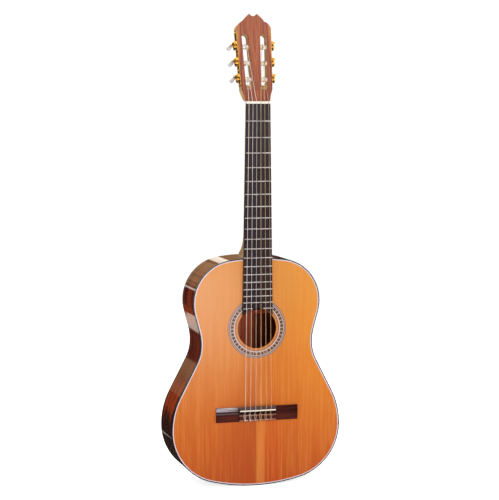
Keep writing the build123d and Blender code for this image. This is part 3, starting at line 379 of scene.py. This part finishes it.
rib_tones = srgb(160, 66, 24), srgb(112, 36, 14), srgb(56, 16, 8), srgb(16, 6, 5)
back_tones = srgb(150, 66, 28), srgb(108, 40, 18), srgb(58, 20, 11), srgb(20, 8, 6)
veneer_tones = srgb(204, 142, 84), srgb(172, 94, 54), srgb(140, 68, 46), srgb(100, 46, 34)
bridge_tones = srgb(92, 42, 32), srgb(64, 26, 22), srgb(40, 15, 13), srgb(18, 7, 7)
rib_wood = rosewood_finish("rib_rosewood", "y", "z", rib_tones, patches_at=rib_painted_light)
back_wood = rosewood_finish("back_rosewood", "x", "z", back_tones, patches_at=back_patches)
veneer_wood = rosewood_finish("veneer_rosewood", "x", "z", veneer_tones, pitch=260.0)
bridge_wood = rosewood_finish("bridge_rosewood", "z", "x", bridge_tones, patches_at=bridge_patches)
dress(rib_wood, "rib_bass", "rib_treble")
dress(back_wood, "back_bass", "back_treble")
dress(veneer_wood, "head_veneer")
dress(bridge_wood, "bridge")
print("four rosewoods")

# %% [markdown]
# ## Ebony fingerboard, cedro neck and plain inner woods
# The fingerboard is nearly black with a purple cast and a fine silky grain. The neck, the tail block
# and the linings are pale cedro. The bars across the back are bare mahogany and those under the
# soundboard bare spruce, seen only through the soundhole. The three differ in colour, in how wide
# their grain is and in their lacquer, so one function makes them.


# %% Ebony, cedro, mahogany and spruce
def ebony_finish():
    wood = Finish("ebony", Coat_Weight=0.3, Coat_Roughness=0.2, Specular_IOR_Level=0.15)
    grain = wood.noise(wood.at(wood.x * 900.0, 0.0, wood.z * 12.0), 1.0, 3.0, 0.6)
    streaks = wood.noise(wood.at(wood.x * 140.0, 0.0, wood.z * 2.0), 1.0, 3.0)
    base = wood.ramp(
        streaks * 0.6 + grain * 0.4,
        (0.3, srgb(12, 6, 9)),
        (0.5, srgb(30, 15, 25)),
        (0.68, srgb(52, 26, 38)),
        (0.85, srgb(76, 38, 44)),
    )
    wood.colour(base)
    wood.rough(grain * 0.2 + 0.3)
    wood.relief(grain, 0.00003)
    return wood


def plain_wood(name, pale, middle, dark, pitch, coat):
    """Straight grain along the neck, for pieces that show little of it."""
    wood = Finish(name, Coat_Weight=coat, Coat_Roughness=0.15, Specular_IOR_Level=0.2)
    grain = wood.noise(wood.at(wood.x / pitch, wood.y / pitch, wood.z * 6.0), 1.0, 3.0, 0.6)
    drift = wood.noise(wood.place, 14.0, 2.0)
    pores = wood.noise(wood.at(wood.x * 2400.0, wood.y * 2400.0, wood.z * 160.0), 1.0, 1.0)
    base = wood.ramp(grain * 0.7 + drift * 0.3, (0.3, dark), (0.5, middle), (0.7, pale))
    base = wood.mix(pores.step(0.6, 0.75) * 0.4, base, dark)
    wood.colour(base)
    wood.rough(grain * 0.15 + 0.38)
    wood.relief(grain, 0.00003)
    return wood


ebony = ebony_finish()
cedro = plain_wood("cedro", srgb(222, 190, 138), srgb(202, 162, 108), srgb(164, 118, 72), 0.003, 0.5)
mahogany = plain_wood("mahogany", srgb(214, 104, 58), srgb(190, 82, 44), srgb(150, 60, 34), 0.003, 0.0)
spruce = plain_wood("spruce", srgb(226, 192, 140), srgb(208, 170, 116), srgb(170, 128, 80), 0.0016, 0.0)
dress(ebony, "fingerboard")
dress(cedro, "neck", "tail_block", "linings")
dress(mahogany, "back_braces")
dress(spruce, "top_braces", "bridge_patch")
print("ebony, cedro, mahogany and spruce")

# %% [markdown]
# ## Binding, purfling and rosette
# The edge is a dark strip with a pale line inside it. The rosette is turned: thin dyed rings, then a
# ring of end-grain blocks. Its pattern is drawn in polar coordinates about the soundhole, from the
# distance to the centre and the angle round it.


# %% Edge strips
def binding_finish():
    strip = Finish("dark_binding", Coat_Weight=1.0, Coat_Roughness=0.05, Specular_IOR_Level=0.1)
    grain = strip.noise(strip.at(strip.x * 60.0, strip.y * 900.0, strip.z * 60.0), 1.0, 3.0)
    strip.colour(strip.ramp(grain, (0.3, srgb(14, 9, 14)), (0.7, srgb(42, 24, 28))))
    strip.rough(grain * 0.1 + 0.3)
    strip.relief(grain, 0.00001)
    return strip


def pale_strip_finish(name, dark, light):
    strip = Finish(name, Coat_Weight=1.0, Coat_Roughness=0.05)
    grain = strip.noise(strip.at(strip.x * 90.0, strip.y * 90.0, strip.z * 90.0), 6.0, 3.0)
    strip.colour(strip.ramp(grain, (0.3, dark), (0.7, light)))
    strip.rough(grain * 0.1 + 0.3)
    strip.relief(grain, 0.00001)
    return strip


def turned(finish):
    """(radius, angle in turns) about the soundhole's centre, as Signals."""
    up = finish.z - hole_z
    radius = (finish.x * finish.x + up * up) ** 0.5
    angle = finish.node("ShaderNodeMath", {"operation": "ARCTAN2"}, up, finish.x) / (2 * math.pi)
    return radius, angle


def ring_finish():
    """Thin dyed rings: each band is a stripe of radius between two edges."""
    rings = Finish("rosette_lines", Coat_Weight=1.0, Coat_Roughness=0.05, Specular_IOR_Level=0.2)
    radius, angle = turned(rings)
    fibre = rings.noise(rings.at(radius * 900.0, angle * 900.0, 0.0), 1.0, 2.0)
    base = rings.ramp(fibre, (0.3, srgb(172, 112, 76)), (0.7, srgb(192, 132, 92)))
    pale, dark, grey = srgb(194, 178, 176), srgb(92, 56, 42), srgb(130, 102, 92)
    for place, half, ink in (
        (rings_in + 0.0005, 0.0005, grey),
        (rings_in + 0.0018, 0.0003, dark),
        (rings_in + 0.0040, 0.0006, pale),
        (mosaic_r + 0.0006, 0.0006, pale),
        (mosaic_r + 0.0016, 0.0003, dark),
        (mosaic_r + 0.0030, 0.0010, grey),
        (rosette_r - 0.0016, 0.0003, pale),
        (rosette_r - 0.0005, 0.0005, dark),
    ):
        base = rings.mix(radius.band(place, half, 0.00015), base, ink)
    rings.colour(base)
    rings.rough(fibre * 0.1 + 0.3)
    rings.relief(fibre, 0.00001)
    return rings


def mosaic_finish(blocks=44):
    """End-grain blocks: dark blocks and pale gaps that alternate with the angle round the hole."""
    tiles = Finish("rosette_mosaic", Coat_Weight=1.0, Coat_Roughness=0.05, Specular_IOR_Level=0.2)
    radius, angle = turned(tiles)
    across = (radius - mosaic_in) / (mosaic_r - mosaic_in)
    along = (angle * blocks + blocks).part()
    rows = (across * 5.0).part()
    steps = (along * 6.0).part()
    grain = tiles.noise(tiles.at(angle * 900.0, radius * 900.0, 0.0), 1.0, 1.0)
    block = along.band(0.5, 0.34, 0.06)
    base = tiles.mix(grain, srgb(152, 118, 98), srgb(184, 152, 130))
    base = tiles.mix(block * 0.92, base, srgb(62, 38, 28))
    tile_lines = rows.band(0.0, 0.12, 0.05) * steps.step(0.5, 0.7) * block
    base = tiles.mix(tile_lines * 0.6, base, srgb(170, 126, 86))
    base = tiles.mix(across.band(0.0, 0.08, 0.02), base, srgb(226, 204, 188))
    base = tiles.mix(across.band(0.13, 0.04, 0.02), base, srgb(92, 52, 38))
    base = tiles.mix(across.band(0.93, 0.04, 0.02), base, srgb(92, 52, 38))
    tiles.colour(base)
    tiles.rough(grain * 0.1 + 0.3)
    tiles.relief(grain, 0.00001)
    return tiles


dark_binding = binding_finish()
pale_strip = pale_strip_finish("pale_line", srgb(184, 170, 178), srgb(222, 210, 214))
tan_strip = pale_strip_finish("tan_line", srgb(150, 92, 72), srgb(196, 140, 112))
ring_lines = ring_finish()
mosaic = mosaic_finish()
dress(dark_binding, "top_binding", "back_binding", "tail_graft", "heel_cap")
dress(pale_strip, "top_purfling", "back_strip")
dress(ring_lines, "rosette_rings")
dress(mosaic, "rosette_mosaic")
print("edges and rosette")

# %% [markdown]
# ## Bone, metal, pearl and nylon
# Small parts carry the sharpest highlights. Bone has faint pores and a yellow cast, gilt brass is
# rubbed brighter and browner in turn, pearl plastic has cloudy bands, and the bass strings are wound
# with a fine silvered wire that shows as rings along the string.


# %% Small finishes
def bone_finish():
    bone = Finish("bone", Coat_Weight=0.3, Coat_Roughness=0.1)
    cloud = bone.noise(bone.place, 260.0, 3.0)
    pores = bone.noise(bone.at(bone.x * 300.0, bone.y * 2000.0, bone.z * 2000.0), 1.0, 2.0)
    base = bone.ramp(cloud, (0.3, srgb(224, 214, 192)), (0.7, srgb(246, 242, 230)))
    bone.colour(bone.mix(pores.step(0.62, 0.75) * 0.3, base, srgb(196, 178, 146)))
    bone.rough(cloud * 0.15 + 0.25)
    bone.relief(pores, 0.00002)
    return bone


def metal_finish(name, tones, scale, low_rough):
    """tones are the bright, the worn and the scratched colour."""
    bright, worn, dull = tones
    metal = Finish(name, Metallic=1.0)
    cloud = metal.noise(metal.place, scale, 4.0, 0.6)
    scratch = metal.noise(metal.at(metal.x * 400.0, metal.y * 4000.0, metal.z * 700.0), 1.0, 2.0)
    base = metal.ramp(cloud, (0.3, worn), (0.6, bright))
    metal.colour(metal.mix(scratch.step(0.6, 0.8) * 0.35, base, dull))
    metal.rough(cloud * 0.15 + scratch * 0.1 + low_rough)
    metal.relief(scratch * 0.4 + cloud * 0.6, 0.00002)
    return metal


def pearl_finish(name, tones, scale):
    """tones are the middle, the dark and the pale cloud."""
    light, shade, tint = tones
    pearl = Finish(name, Coat_Weight=1.0, Coat_Roughness=0.04)
    warp = pearl.noise(pearl.place, scale * 0.4, 2.0)
    cloud = pearl.noise(pearl.at(pearl.x + warp * 0.01, pearl.y, pearl.z), scale, 4.0, 0.65)
    veins = (cloud * 22.0 + warp * 8.0).sine() * 0.5 + 0.5
    base = pearl.ramp(veins * 0.6 + cloud * 0.4, (0.2, shade), (0.5, light), (0.8, tint))
    pearl.colour(base)
    pearl.rough(cloud * 0.2 + 0.18)
    pearl.relief(veins, 0.00002)
    return pearl


def nylon_finish():
    nylon = Finish("clear_nylon", Transmission_Weight=0.45, IOR=1.53)
    cloud = nylon.noise(nylon.at(nylon.x * 500.0, nylon.y * 500.0, nylon.z * 30.0), 1.0, 2.0)
    nylon.colour(nylon.ramp(cloud, (0.3, srgb(236, 196, 142)), (0.7, srgb(250, 220, 176))))
    nylon.rough(cloud * 0.15 + 0.12)
    nylon.relief(cloud, 0.00001)
    return nylon


def wound_finish(wire_width=0.00028):
    """Wire turns are a sine of the height, one turn for each width of the wire."""
    wire = Finish("wound_silver", Metallic=0.55)
    turns = (wire.z * (2.0 * math.pi / wire_width)).sine() * 0.5 + 0.5
    cloud = wire.noise(wire.at(wire.x * 80.0, wire.y * 80.0, wire.z * 20.0), 1.0, 3.0)
    base = wire.ramp(cloud, (0.3, srgb(238, 220, 204)), (0.7, srgb(255, 242, 228)))
    # Painted shade: the colour darkens in the grooves between the wire turns.
    wire.colour(wire.mix((1 - turns) * 0.2, base, srgb(150, 134, 124)))
    wire.rough(cloud * 0.15 + 0.4)
    wire.relief(turns, 0.00004)
    return wire


def string_finish(number):
    """Three strings are nylon and three are wound: the finish and the name of its slot."""
    return (nylon, "clear_nylon") if number <= 3 else (wound, "wound_silver")


gilt_tones = srgb(240, 196, 96), srgb(205, 150, 58), srgb(150, 100, 40)
nickel_tones = srgb(226, 222, 216), srgb(188, 182, 176), srgb(140, 134, 130)
pearl_tones = srgb(198, 196, 194), srgb(140, 140, 148), srgb(222, 220, 216)
cream_tones = srgb(240, 234, 220), srgb(214, 204, 184), srgb(250, 247, 238)
bone = bone_finish()
gilt = metal_finish("gilt_brass", gilt_tones, 180.0, 0.14)
nickel = metal_finish("nickel_silver", nickel_tones, 90.0, 0.16)
pearl = pearl_finish("pearl_plastic", pearl_tones, 160.0)
cream = pearl_finish("roller_plastic", cream_tones, 220.0)
nylon = nylon_finish()
wound = wound_finish()
dress(bone, "nut", "saddle")
dress(tan_strip, "tie_block_trim")
dress(nickel, "frets")
dress(gilt, "tuner_plate_bass", "tuner_plate_treble", "plate_screws")
for number in range(1, 7):
    dress(gilt, f"gear_{number}", f"worm_{number}")
    dress(pearl, f"button_{number}")
    dress(cream, f"roller_{number}")
    dress(string_finish(number)[0], string_names[number - 1])
print("bone, metal, pearl and strings")

# %% [markdown]
# ## Surfaces from formulas
# A tube is a path with a circle carried along it. A thread is a profile carried along a helix. Both
# are grids of points worked out at once with numpy, then handed to the mesh.


# %% Grid to mesh
def grid_faces(rows, columns, wrap=True):
    """Quads between neighbouring rows; the columns close on themselves when wrap is true."""
    last = columns if wrap else columns - 1
    row, column = np.meshgrid(np.arange(rows - 1), np.arange(last), indexing="ij")
    following = (column + 1) % columns
    first = row * columns + column
    second = row * columns + following
    return np.stack([first, second, second + columns, first + columns], axis=-1).reshape(-1, 4)


def surface(name, points, finish, body):
    """points is rows x columns x 3 in metres: a closed tube with both ends capped."""
    rows, columns = points.shape[:2]
    faces = [tuple(int(i) for i in quad) for quad in grid_faces(rows, columns)]
    faces.append(tuple(range(columns - 1, -1, -1)))
    faces.append(tuple(range((rows - 1) * columns, rows * columns)))
    mesh = bpy.data.meshes.new(name)
    mesh.from_pydata(points.reshape(-1, 3).tolist(), [], faces)
    mesh.validate()
    mesh.polygons.foreach_set("use_smooth", [len(face) == 4 for face in faces])
    piece = bpy.data.objects.new(name, mesh)
    scene.collection.objects.link(piece)
    mesh.materials.append(finish.material)
    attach(piece, body)
    return piece


def tube(path, radius, sides=10, side_hint=(1.0, 0.0, 0.0)):
    """Circle of a radius carried along path: centre + r cos(a) normal + r sin(a) binormal."""
    path = np.asarray(path, dtype=float)
    along = np.gradient(path, axis=0)
    along /= np.linalg.norm(along, axis=1, keepdims=True)
    normal = np.cross(along, np.asarray(side_hint, dtype=float))
    normal /= np.linalg.norm(normal, axis=1, keepdims=True)
    binormal = np.cross(along, normal)
    angle = np.linspace(0.0, 2.0 * np.pi, sides, endpoint=False)[None, :, None]
    ring = np.cos(angle) * normal[:, None, :] + np.sin(angle) * binormal[:, None, :]
    return path[:, None, :] + radius * ring


def smooth_path(points, per_span=10):
    """Catmull-Rom curve through the points, worked out for every span at once."""
    points = np.asarray(points, dtype=float)
    padded = np.vstack([2 * points[0] - points[1], points, 2 * points[-1] - points[-2]])
    t = np.linspace(0.0, 1.0, per_span, endpoint=False)[None, :, None]
    p0, p1, p2, p3 = (padded[i : len(padded) - 3 + i, None, :] for i in range(4))
    squared = 2 * p0 - 5 * p1 + 4 * p2 - p3
    cubed = 3 * p1 - p0 - 3 * p2 + p3
    curve = 0.5 * (2 * p1 + (p2 - p0) * t + squared * t**2 + cubed * t**3)
    return np.vstack([curve.reshape(-1, 3), points[-1]])


print("surface tools ready")

# %% [markdown]
# ## Turns of string on the rollers
# Each string reaches the front of its roller and winds round it. The turns are a helix about the
# roller's axis: the place along the axis moves by a little more than one string's width a turn, and
# the last part of a turn sinks towards the axis, where the string dives into its hole. The helix
# starts one width beside the string, because it goes round with the roller and the string stays.
# A curve object with a bevel would do too, but the formula keeps the spacing exact.


# %% String turns
turn_counts = (2.15, 3.1, 2.6, 3.6, 3.1, 2.1)
wound_towards = (-1, 1, 1, 1, 1, -1)


def unit(vector):
    return vector / np.linalg.norm(vector)


def string_turns(number, spacing=1.1, steps=36, dive_angle=0.7, dive_widths=2.2):
    """Helix of wrap radius R: axis point + s(a) axis + R (cos a out + sin a onward)."""
    points = vertices(string_names[number - 1])
    top = points[:, 2].max()
    landing = points[points[:, 2] > top - 0.001].mean(axis=0)
    below = points[points[:, 2] < top - 0.02]
    nut_end = below[below[:, 2] > below[:, 2].max() - 0.001].mean(axis=0)
    joint = joints[f"roller_turn_{number}"]
    axis = np.array(joint["axis"])
    start = np.array(joint["pos_m"])
    place = (landing - start) @ axis
    spoke = landing - start - place * axis
    wrap = np.linalg.norm(spoke)
    out = unit(spoke)
    travel = landing - nut_end
    onward = unit(travel - (travel @ axis) * axis - (travel @ out) * out)
    width = string_widths[number - 1]
    turns, toward = turn_counts[number - 1], wound_towards[number - 1]
    angle = np.linspace(0.0, 2.0 * np.pi * turns, int(steps * turns))
    along = place + toward * width * spacing * (1.0 + angle / (2.0 * np.pi))
    dive = np.clip((angle - angle[-1] + dive_angle) / dive_angle, 0.0, 1.0)
    radius = wrap - dive**2 * dive_widths * width
    path = (
        start
        + along[:, None] * axis
        + (radius * np.cos(angle))[:, None] * out
        + (radius * np.sin(angle))[:, None] * onward
    )
    finish, slot = string_finish(number)
    coil = tube(path, width / 2, 10, axis)
    return surface(f"string_turns_{number}", coil, finish, f"string_roller_{number}")


for number in range(1, 7):
    string_turns(number)
print("turns on six rollers")

# %% [markdown]
# ## Worm threads
# The worm is a screw that meshes with the gear. Its thread is one ridge that goes round the shaft:
# a trapezium carried along a helix whose lead is the gear's tooth spacing. The two sides of the head
# mirror each other, so the treble threads are right handed and the bass threads left handed.


# %% Worms
worm_core = 0.00160
worm_half_length = 0.0032
thread_profile = np.array([(-0.00078, 0.0), (-0.00034, 0.0013), (0.00034, 0.0013), (0.00078, 0.0)])


def worm_thread(number, teeth=14, pitch_radius=0.006, taper_angle=0.6):
    """Each corner of the profile: centre + (s + offset) axis + r (cos a gearward + sin a beside)."""
    key, roller = joints[f"key_turn_{number}"], joints[f"roller_turn_{number}"]
    axis, gear_axis = unit(np.array(key["axis"])), unit(np.array(roller["axis"]))
    centre = np.array(key["pos_m"])
    gearward = np.array(roller["pos_m"]) - centre
    gearward = unit(gearward - (gearward @ axis) * axis - (gearward @ gear_axis) * gear_axis)
    beside = np.cross(axis, gearward)
    lead = 2.0 * np.pi * pitch_radius / teeth * (1 if number <= 3 else -1)
    reach = worm_half_length / abs(lead) * 2.0 * np.pi
    angle = np.linspace(-reach, reach, 84)
    taper = np.clip((reach - np.abs(angle)) / taper_angle, 0.0, 1.0)
    offset, height = thread_profile.T
    radius = worm_core + taper[:, None] * height[None, :]
    place = lead * angle[:, None] / (2.0 * np.pi) + offset[None, :]
    spin = np.cos(angle)[:, None] * gearward + np.sin(angle)[:, None] * beside
    points = centre + place[:, :, None] * axis + radius[:, :, None] * spin[:, None, :]
    if lead < 0:
        points = points[:, ::-1]
    thread = surface(f"worm_thread_{number}", points, gilt, f"tuner_key_{number}")
    thread.data.polygons.foreach_set("use_smooth", [False] * len(thread.data.polygons))
    return thread


for number in range(1, 7):
    worm_thread(number)
print("six worm threads")

# %% [markdown]
# ## Ties at the bridge
# A string comes out behind the tie block, loops up over it, passes under itself in front, goes back
# over the block and is tucked along its rear edge. Each tie is one smooth curve through those places.


# %% Bridge ties
def string_tie(number):
    """Tube along a Catmull-Rom curve through the places where the string bends."""
    points = vertices(string_names[number - 1])
    tail = points[points[:, 2] < points[:, 2].min() + 0.0003].mean(axis=0)
    x, hole_y, _ = tail
    width = string_widths[number - 1]
    top = trim_low[1] - width / 2 - 0.00005
    rear, front = trim_low[2], trim_high[2]
    side = 0.0013 + width / 2
    lift = width * 0.9
    path = smooth_path(
        [
            (x, hole_y, tail[2] + 0.0008),
            (x + 0.1 * side, hole_y, tail[2] - 0.0004),
            (x + 0.3 * side, (hole_y + top) / 2, rear - 0.0014 - width / 2),
            (x + 0.5 * side, top, rear + 0.0003),
            (x + 0.8 * side, top, (rear + front) / 2),
            (x + side, top, front - 0.0004),
            (x + side, (hole_y + top) / 2, front + 0.0006 + width),
            (x + 0.5 * side, hole_y + width * 1.2, front + 0.0010 + width),
            (x - 0.7 * side, hole_y + width * 0.7, front + 0.0010 + width),
            (x - 1.1 * side, (hole_y + top) / 2, front + 0.0006 + width),
            (x - 1.1 * side, top, front - 0.0004),
            (x - 1.0 * side, top, (rear + front) / 2),
            (x - 0.8 * side, top - lift * 0.3, rear + 0.0028),
            (x - 0.1 * side, top - lift, rear + 0.0014),
            (x + 1.2 * side, top - lift, rear + 0.0010),
            (x + 2.4 * side, top - lift * 0.5, rear + 0.0014),
            (x + 3.3 * side, top - lift * 0.7, rear + 0.0012),
        ],
        per_span=7,
    )
    finish, slot = string_finish(number)
    loop = tube(path, width / 2, 10, (0.35, 0.1, 0.93))
    return surface(f"bridge_tie_{number}", loop, finish, "guitar")


for number in range(1, 7):
    string_tie(number)
print("six ties")

# %% [markdown]
# ## Softened edges
# Planed and lacquered edges are never knife sharp. A narrow bevel on the sharper pieces gives every
# edge the thin highlight it has in real light.


# %% Bevels
def soften(width, *names, angle=35.0):
    for name in names:
        solid = frame["nodes"][name]
        bevel = solid.modifiers.new("edge", "BEVEL")
        bevel.width = width
        bevel.segments = 2
        bevel.limit_method = "ANGLE"
        bevel.angle_limit = math.radians(angle)
        bevel.harden_normals = True


soften(0.0004, "bridge", "head_veneer", "fingerboard")
soften(0.0003, "nut", "saddle")
soften(0.0002, "tuner_plate_bass", "tuner_plate_treble", *(f"gear_{number}" for number in range(1, 7)))
print("edges softened")

# %% [markdown]
# ## Floor and light
# A white floor under a white surround. Soft lights stand at the front left, in front and at the right,
# a weak one behind the left edge, and a card hangs overhead. The floor glows a little, so that no grey
# shows round the tail, and it is hidden from mirrors, so that the lacquer doesn't pick it up.


# %% Floor
def floor_disc(radius=3.0, steps=96):
    """Flat disc: rings of points at growing radius, closed at the centre."""
    rings = np.linspace(0.02, radius, 12)
    angle = np.linspace(0.0, 2.0 * np.pi, steps, endpoint=False)
    along_x, along_y = rings[:, None] * np.cos(angle), rings[:, None] * np.sin(angle)
    points = np.stack([along_x, along_y, np.zeros_like(along_x)], axis=-1)
    faces = [tuple(int(i) for i in quad) for quad in grid_faces(len(rings), steps)]
    faces.append(tuple(range(steps)))
    mesh = bpy.data.meshes.new("floor")
    mesh.from_pydata(points.reshape(-1, 3).tolist(), [], faces)
    mesh.validate()
    disc = bpy.data.objects.new("floor", mesh)
    scene.collection.objects.link(disc)
    return disc


floor = floor_disc()
floor_paint = Finish("floor_paint", Roughness=0.6, Specular_IOR_Level=0.2)
paper = floor_paint.noise(floor_paint.place, 40.0, 2.0)
floor_paint.colour(floor_paint.mix(paper, srgb(250, 250, 250), srgb(253, 253, 253)))
floor.data.materials.append(floor_paint.material)
floor_paint.shader.inputs["Emission Color"].default_value = (1.0, 1.0, 1.0, 1.0)
floor_paint.shader.inputs["Emission Strength"].default_value = 0.78
floor.location.z = -0.0004
floor.visible_glossy = False
print("floor", len(floor.data.polygons), "faces")


# %% [markdown]
# Lacquer shows what stands round it. One world answers three kinds of ray: the camera sees plain
# white, matt surfaces get an even dim light, and mirror rays see a dark room. That room has pale
# windows and a tan wall behind, for the ribs. In front it has a ceiling, a soft sheen low down, a lamp
# for one wing of the bridge and two slits for the head veneer. Each is a band of direction.


# %% World and lights
def build_world():
    """White behind the instrument, an even dim light, and a dark room with windows to mirror."""
    world = bpy.data.worlds.new("room")
    world.use_nodes = True
    world.node_tree.nodes.clear()
    room = Recipe(world.node_tree, "Generated")
    behind = room.y.step(0.35, 0.6)
    breaks = room.noise(room.at(room.x * 9.0, room.y * 2.0, room.z * 2.0), 1.0, 2.0)
    sills = room.noise(room.at(room.x * 2.0, 0.0, room.z * 30.0), 1.0, 1.0)
    high = room.z.band(0.06, 0.012, 0.006) * room.x.step(-0.285, -0.275)
    low = room.z.band(-0.251, 0.011, 0.003) * room.x.step(-0.18, -0.172)
    low = low * (0.35 + breaks.step(0.4, 0.5) * 0.3)
    wall = room.z.step(0.075, 0.1)
    pane = room.x.band(0.17, 0.05, 0.01) * room.z.step(0.1, 0.12)
    windows = (high + low + pane + wall * (0.2 + sills.step(0.4, 0.6) * 0.22)) * behind
    sheen = (1 - room.x.step(0.255, 0.305)) * room.x.step(0.0, 0.1) * room.z.step(-0.2, -0.12)
    sheen = sheen * (1 - room.z.step(-0.112, -0.095)) * (1 - room.y.step(-0.9, -0.8))
    ceiling = room.z.step(0.12, 0.6) * (1 - behind) * 1.6
    shimmer = room.noise(room.at(room.x * 150.0, 0.0, room.z * 16.0), 1.0, 3.0, 0.7).step(0.38, 0.62)
    lamp = room.x.band(0.262, 0.012, 0.004) * room.z.band(0.09, 0.12, 0.03) * (2.5 + shimmer * 12.0)
    slits = room.x.band(0.2785, 0.002, 0.0008) + room.x.band(0.2955, 0.0016, 0.0006)
    slits = slits * room.z.band(0.5, 0.03, 0.01)
    glow = windows * 1.7 + sheen * 2.6 + ceiling + (lamp + slits * 14.0) * (1 - behind) + 0.03
    tint = room.mix(behind, (0.96, 0.94, 1.0), (1.0, 0.92, 0.78))
    tint = room.mix(behind * wall * (1 - pane), tint, (1.0, 0.66, 0.34))
    paths = room.node_of("ShaderNodeLightPath", {})
    mirrored = room.node("ShaderNodeBackground", {}, tint, glow)
    even = room.node("ShaderNodeBackground", {}, (0.96, 0.97, 1.0, 1.0), 0.35)
    white = room.node("ShaderNodeBackground", {}, (1.0, 1.0, 1.0, 1.0), 1.05)
    glossy = Signal(room, paths.outputs["Is Glossy Ray"])
    seen = Signal(room, paths.outputs["Is Camera Ray"])
    around = room.node("ShaderNodeMixShader", {}, glossy, even, mirrored)
    result = room.node("ShaderNodeMixShader", {}, seen, around, white)
    output = room.tree.nodes.new("ShaderNodeOutputWorld")
    room.tree.links.new(result.socket, output.inputs["Surface"])
    scene.world = world


def panel(name, place, target, size, power):
    """A soft box at place that faces target."""
    lamp = bpy.data.lights.new(name, "AREA")
    lamp.shape = "RECTANGLE"
    lamp.size, lamp.size_y = size
    lamp.energy = power
    stand = bpy.data.objects.new(name, lamp)
    stand.location = place
    aim = Vector(target) - Vector(place)
    stand.rotation_euler = aim.to_track_quat("-Z", "Y").to_euler()
    stand.visible_camera = False
    scene.collection.objects.link(stand)
    return stand


build_world()
middle = (0.0, 0.0, 0.5)
panel("key_light", (-1.7, -2.4, 2.3), middle, (1.6, 1.6), 21.0)
panel("front_light", (0.25, -3.2, 1.0), middle, (0.8, 0.8), 24.0)
panel("fill_light", (2.2, -2.2, 1.2), middle, (1.4, 1.8), 13.0)
panel("rim_light", (-2.2, 0.7, 1.2), middle, (0.6, 1.6), 6.0)
panel("top_card", (0.2, 0.5, 2.4), middle, (1.4, 1.0), 30.0)

# %% [markdown]
# ## Camera
# The camera stands back and to the left, a little below the top of the neck, with a long lens, so
# the neck and the body keep their proportions.


# %% Camera
def place_camera(place, yaw, pitch, roll, lens):
    """Right, up and back are worked out from the three turns and become the camera's axes."""
    right = Vector((math.cos(yaw), math.sin(yaw), 0.0))
    level = Vector((-math.sin(yaw), math.cos(yaw), 0.0))
    ahead = level * math.cos(pitch) + Vector((0.0, 0.0, 1.0)) * math.sin(pitch)
    up = right.cross(ahead)
    tilted_right = right * math.cos(roll) + up * math.sin(roll)
    tilted_up = up * math.cos(roll) - right * math.sin(roll)
    lens_data = bpy.data.cameras.new("camera")
    lens_data.sensor_width = 36.0
    lens_data.lens = lens
    camera = bpy.data.objects.new("camera", lens_data)
    turn = Matrix((tilted_right, tilted_up, -ahead)).transposed()
    camera.matrix_world = Matrix.Translation(place) @ turn.to_4x4()
    scene.collection.objects.link(camera)
    scene.camera = camera
    return camera


camera = place_camera((-1.0030, -3.3464, 0.8383), yaw=-0.29, pitch=-0.0956, roll=0.003, lens=117.92)
scene.view_settings.view_transform = "Standard"
print("camera at", [round(value, 3) for value in camera.location])
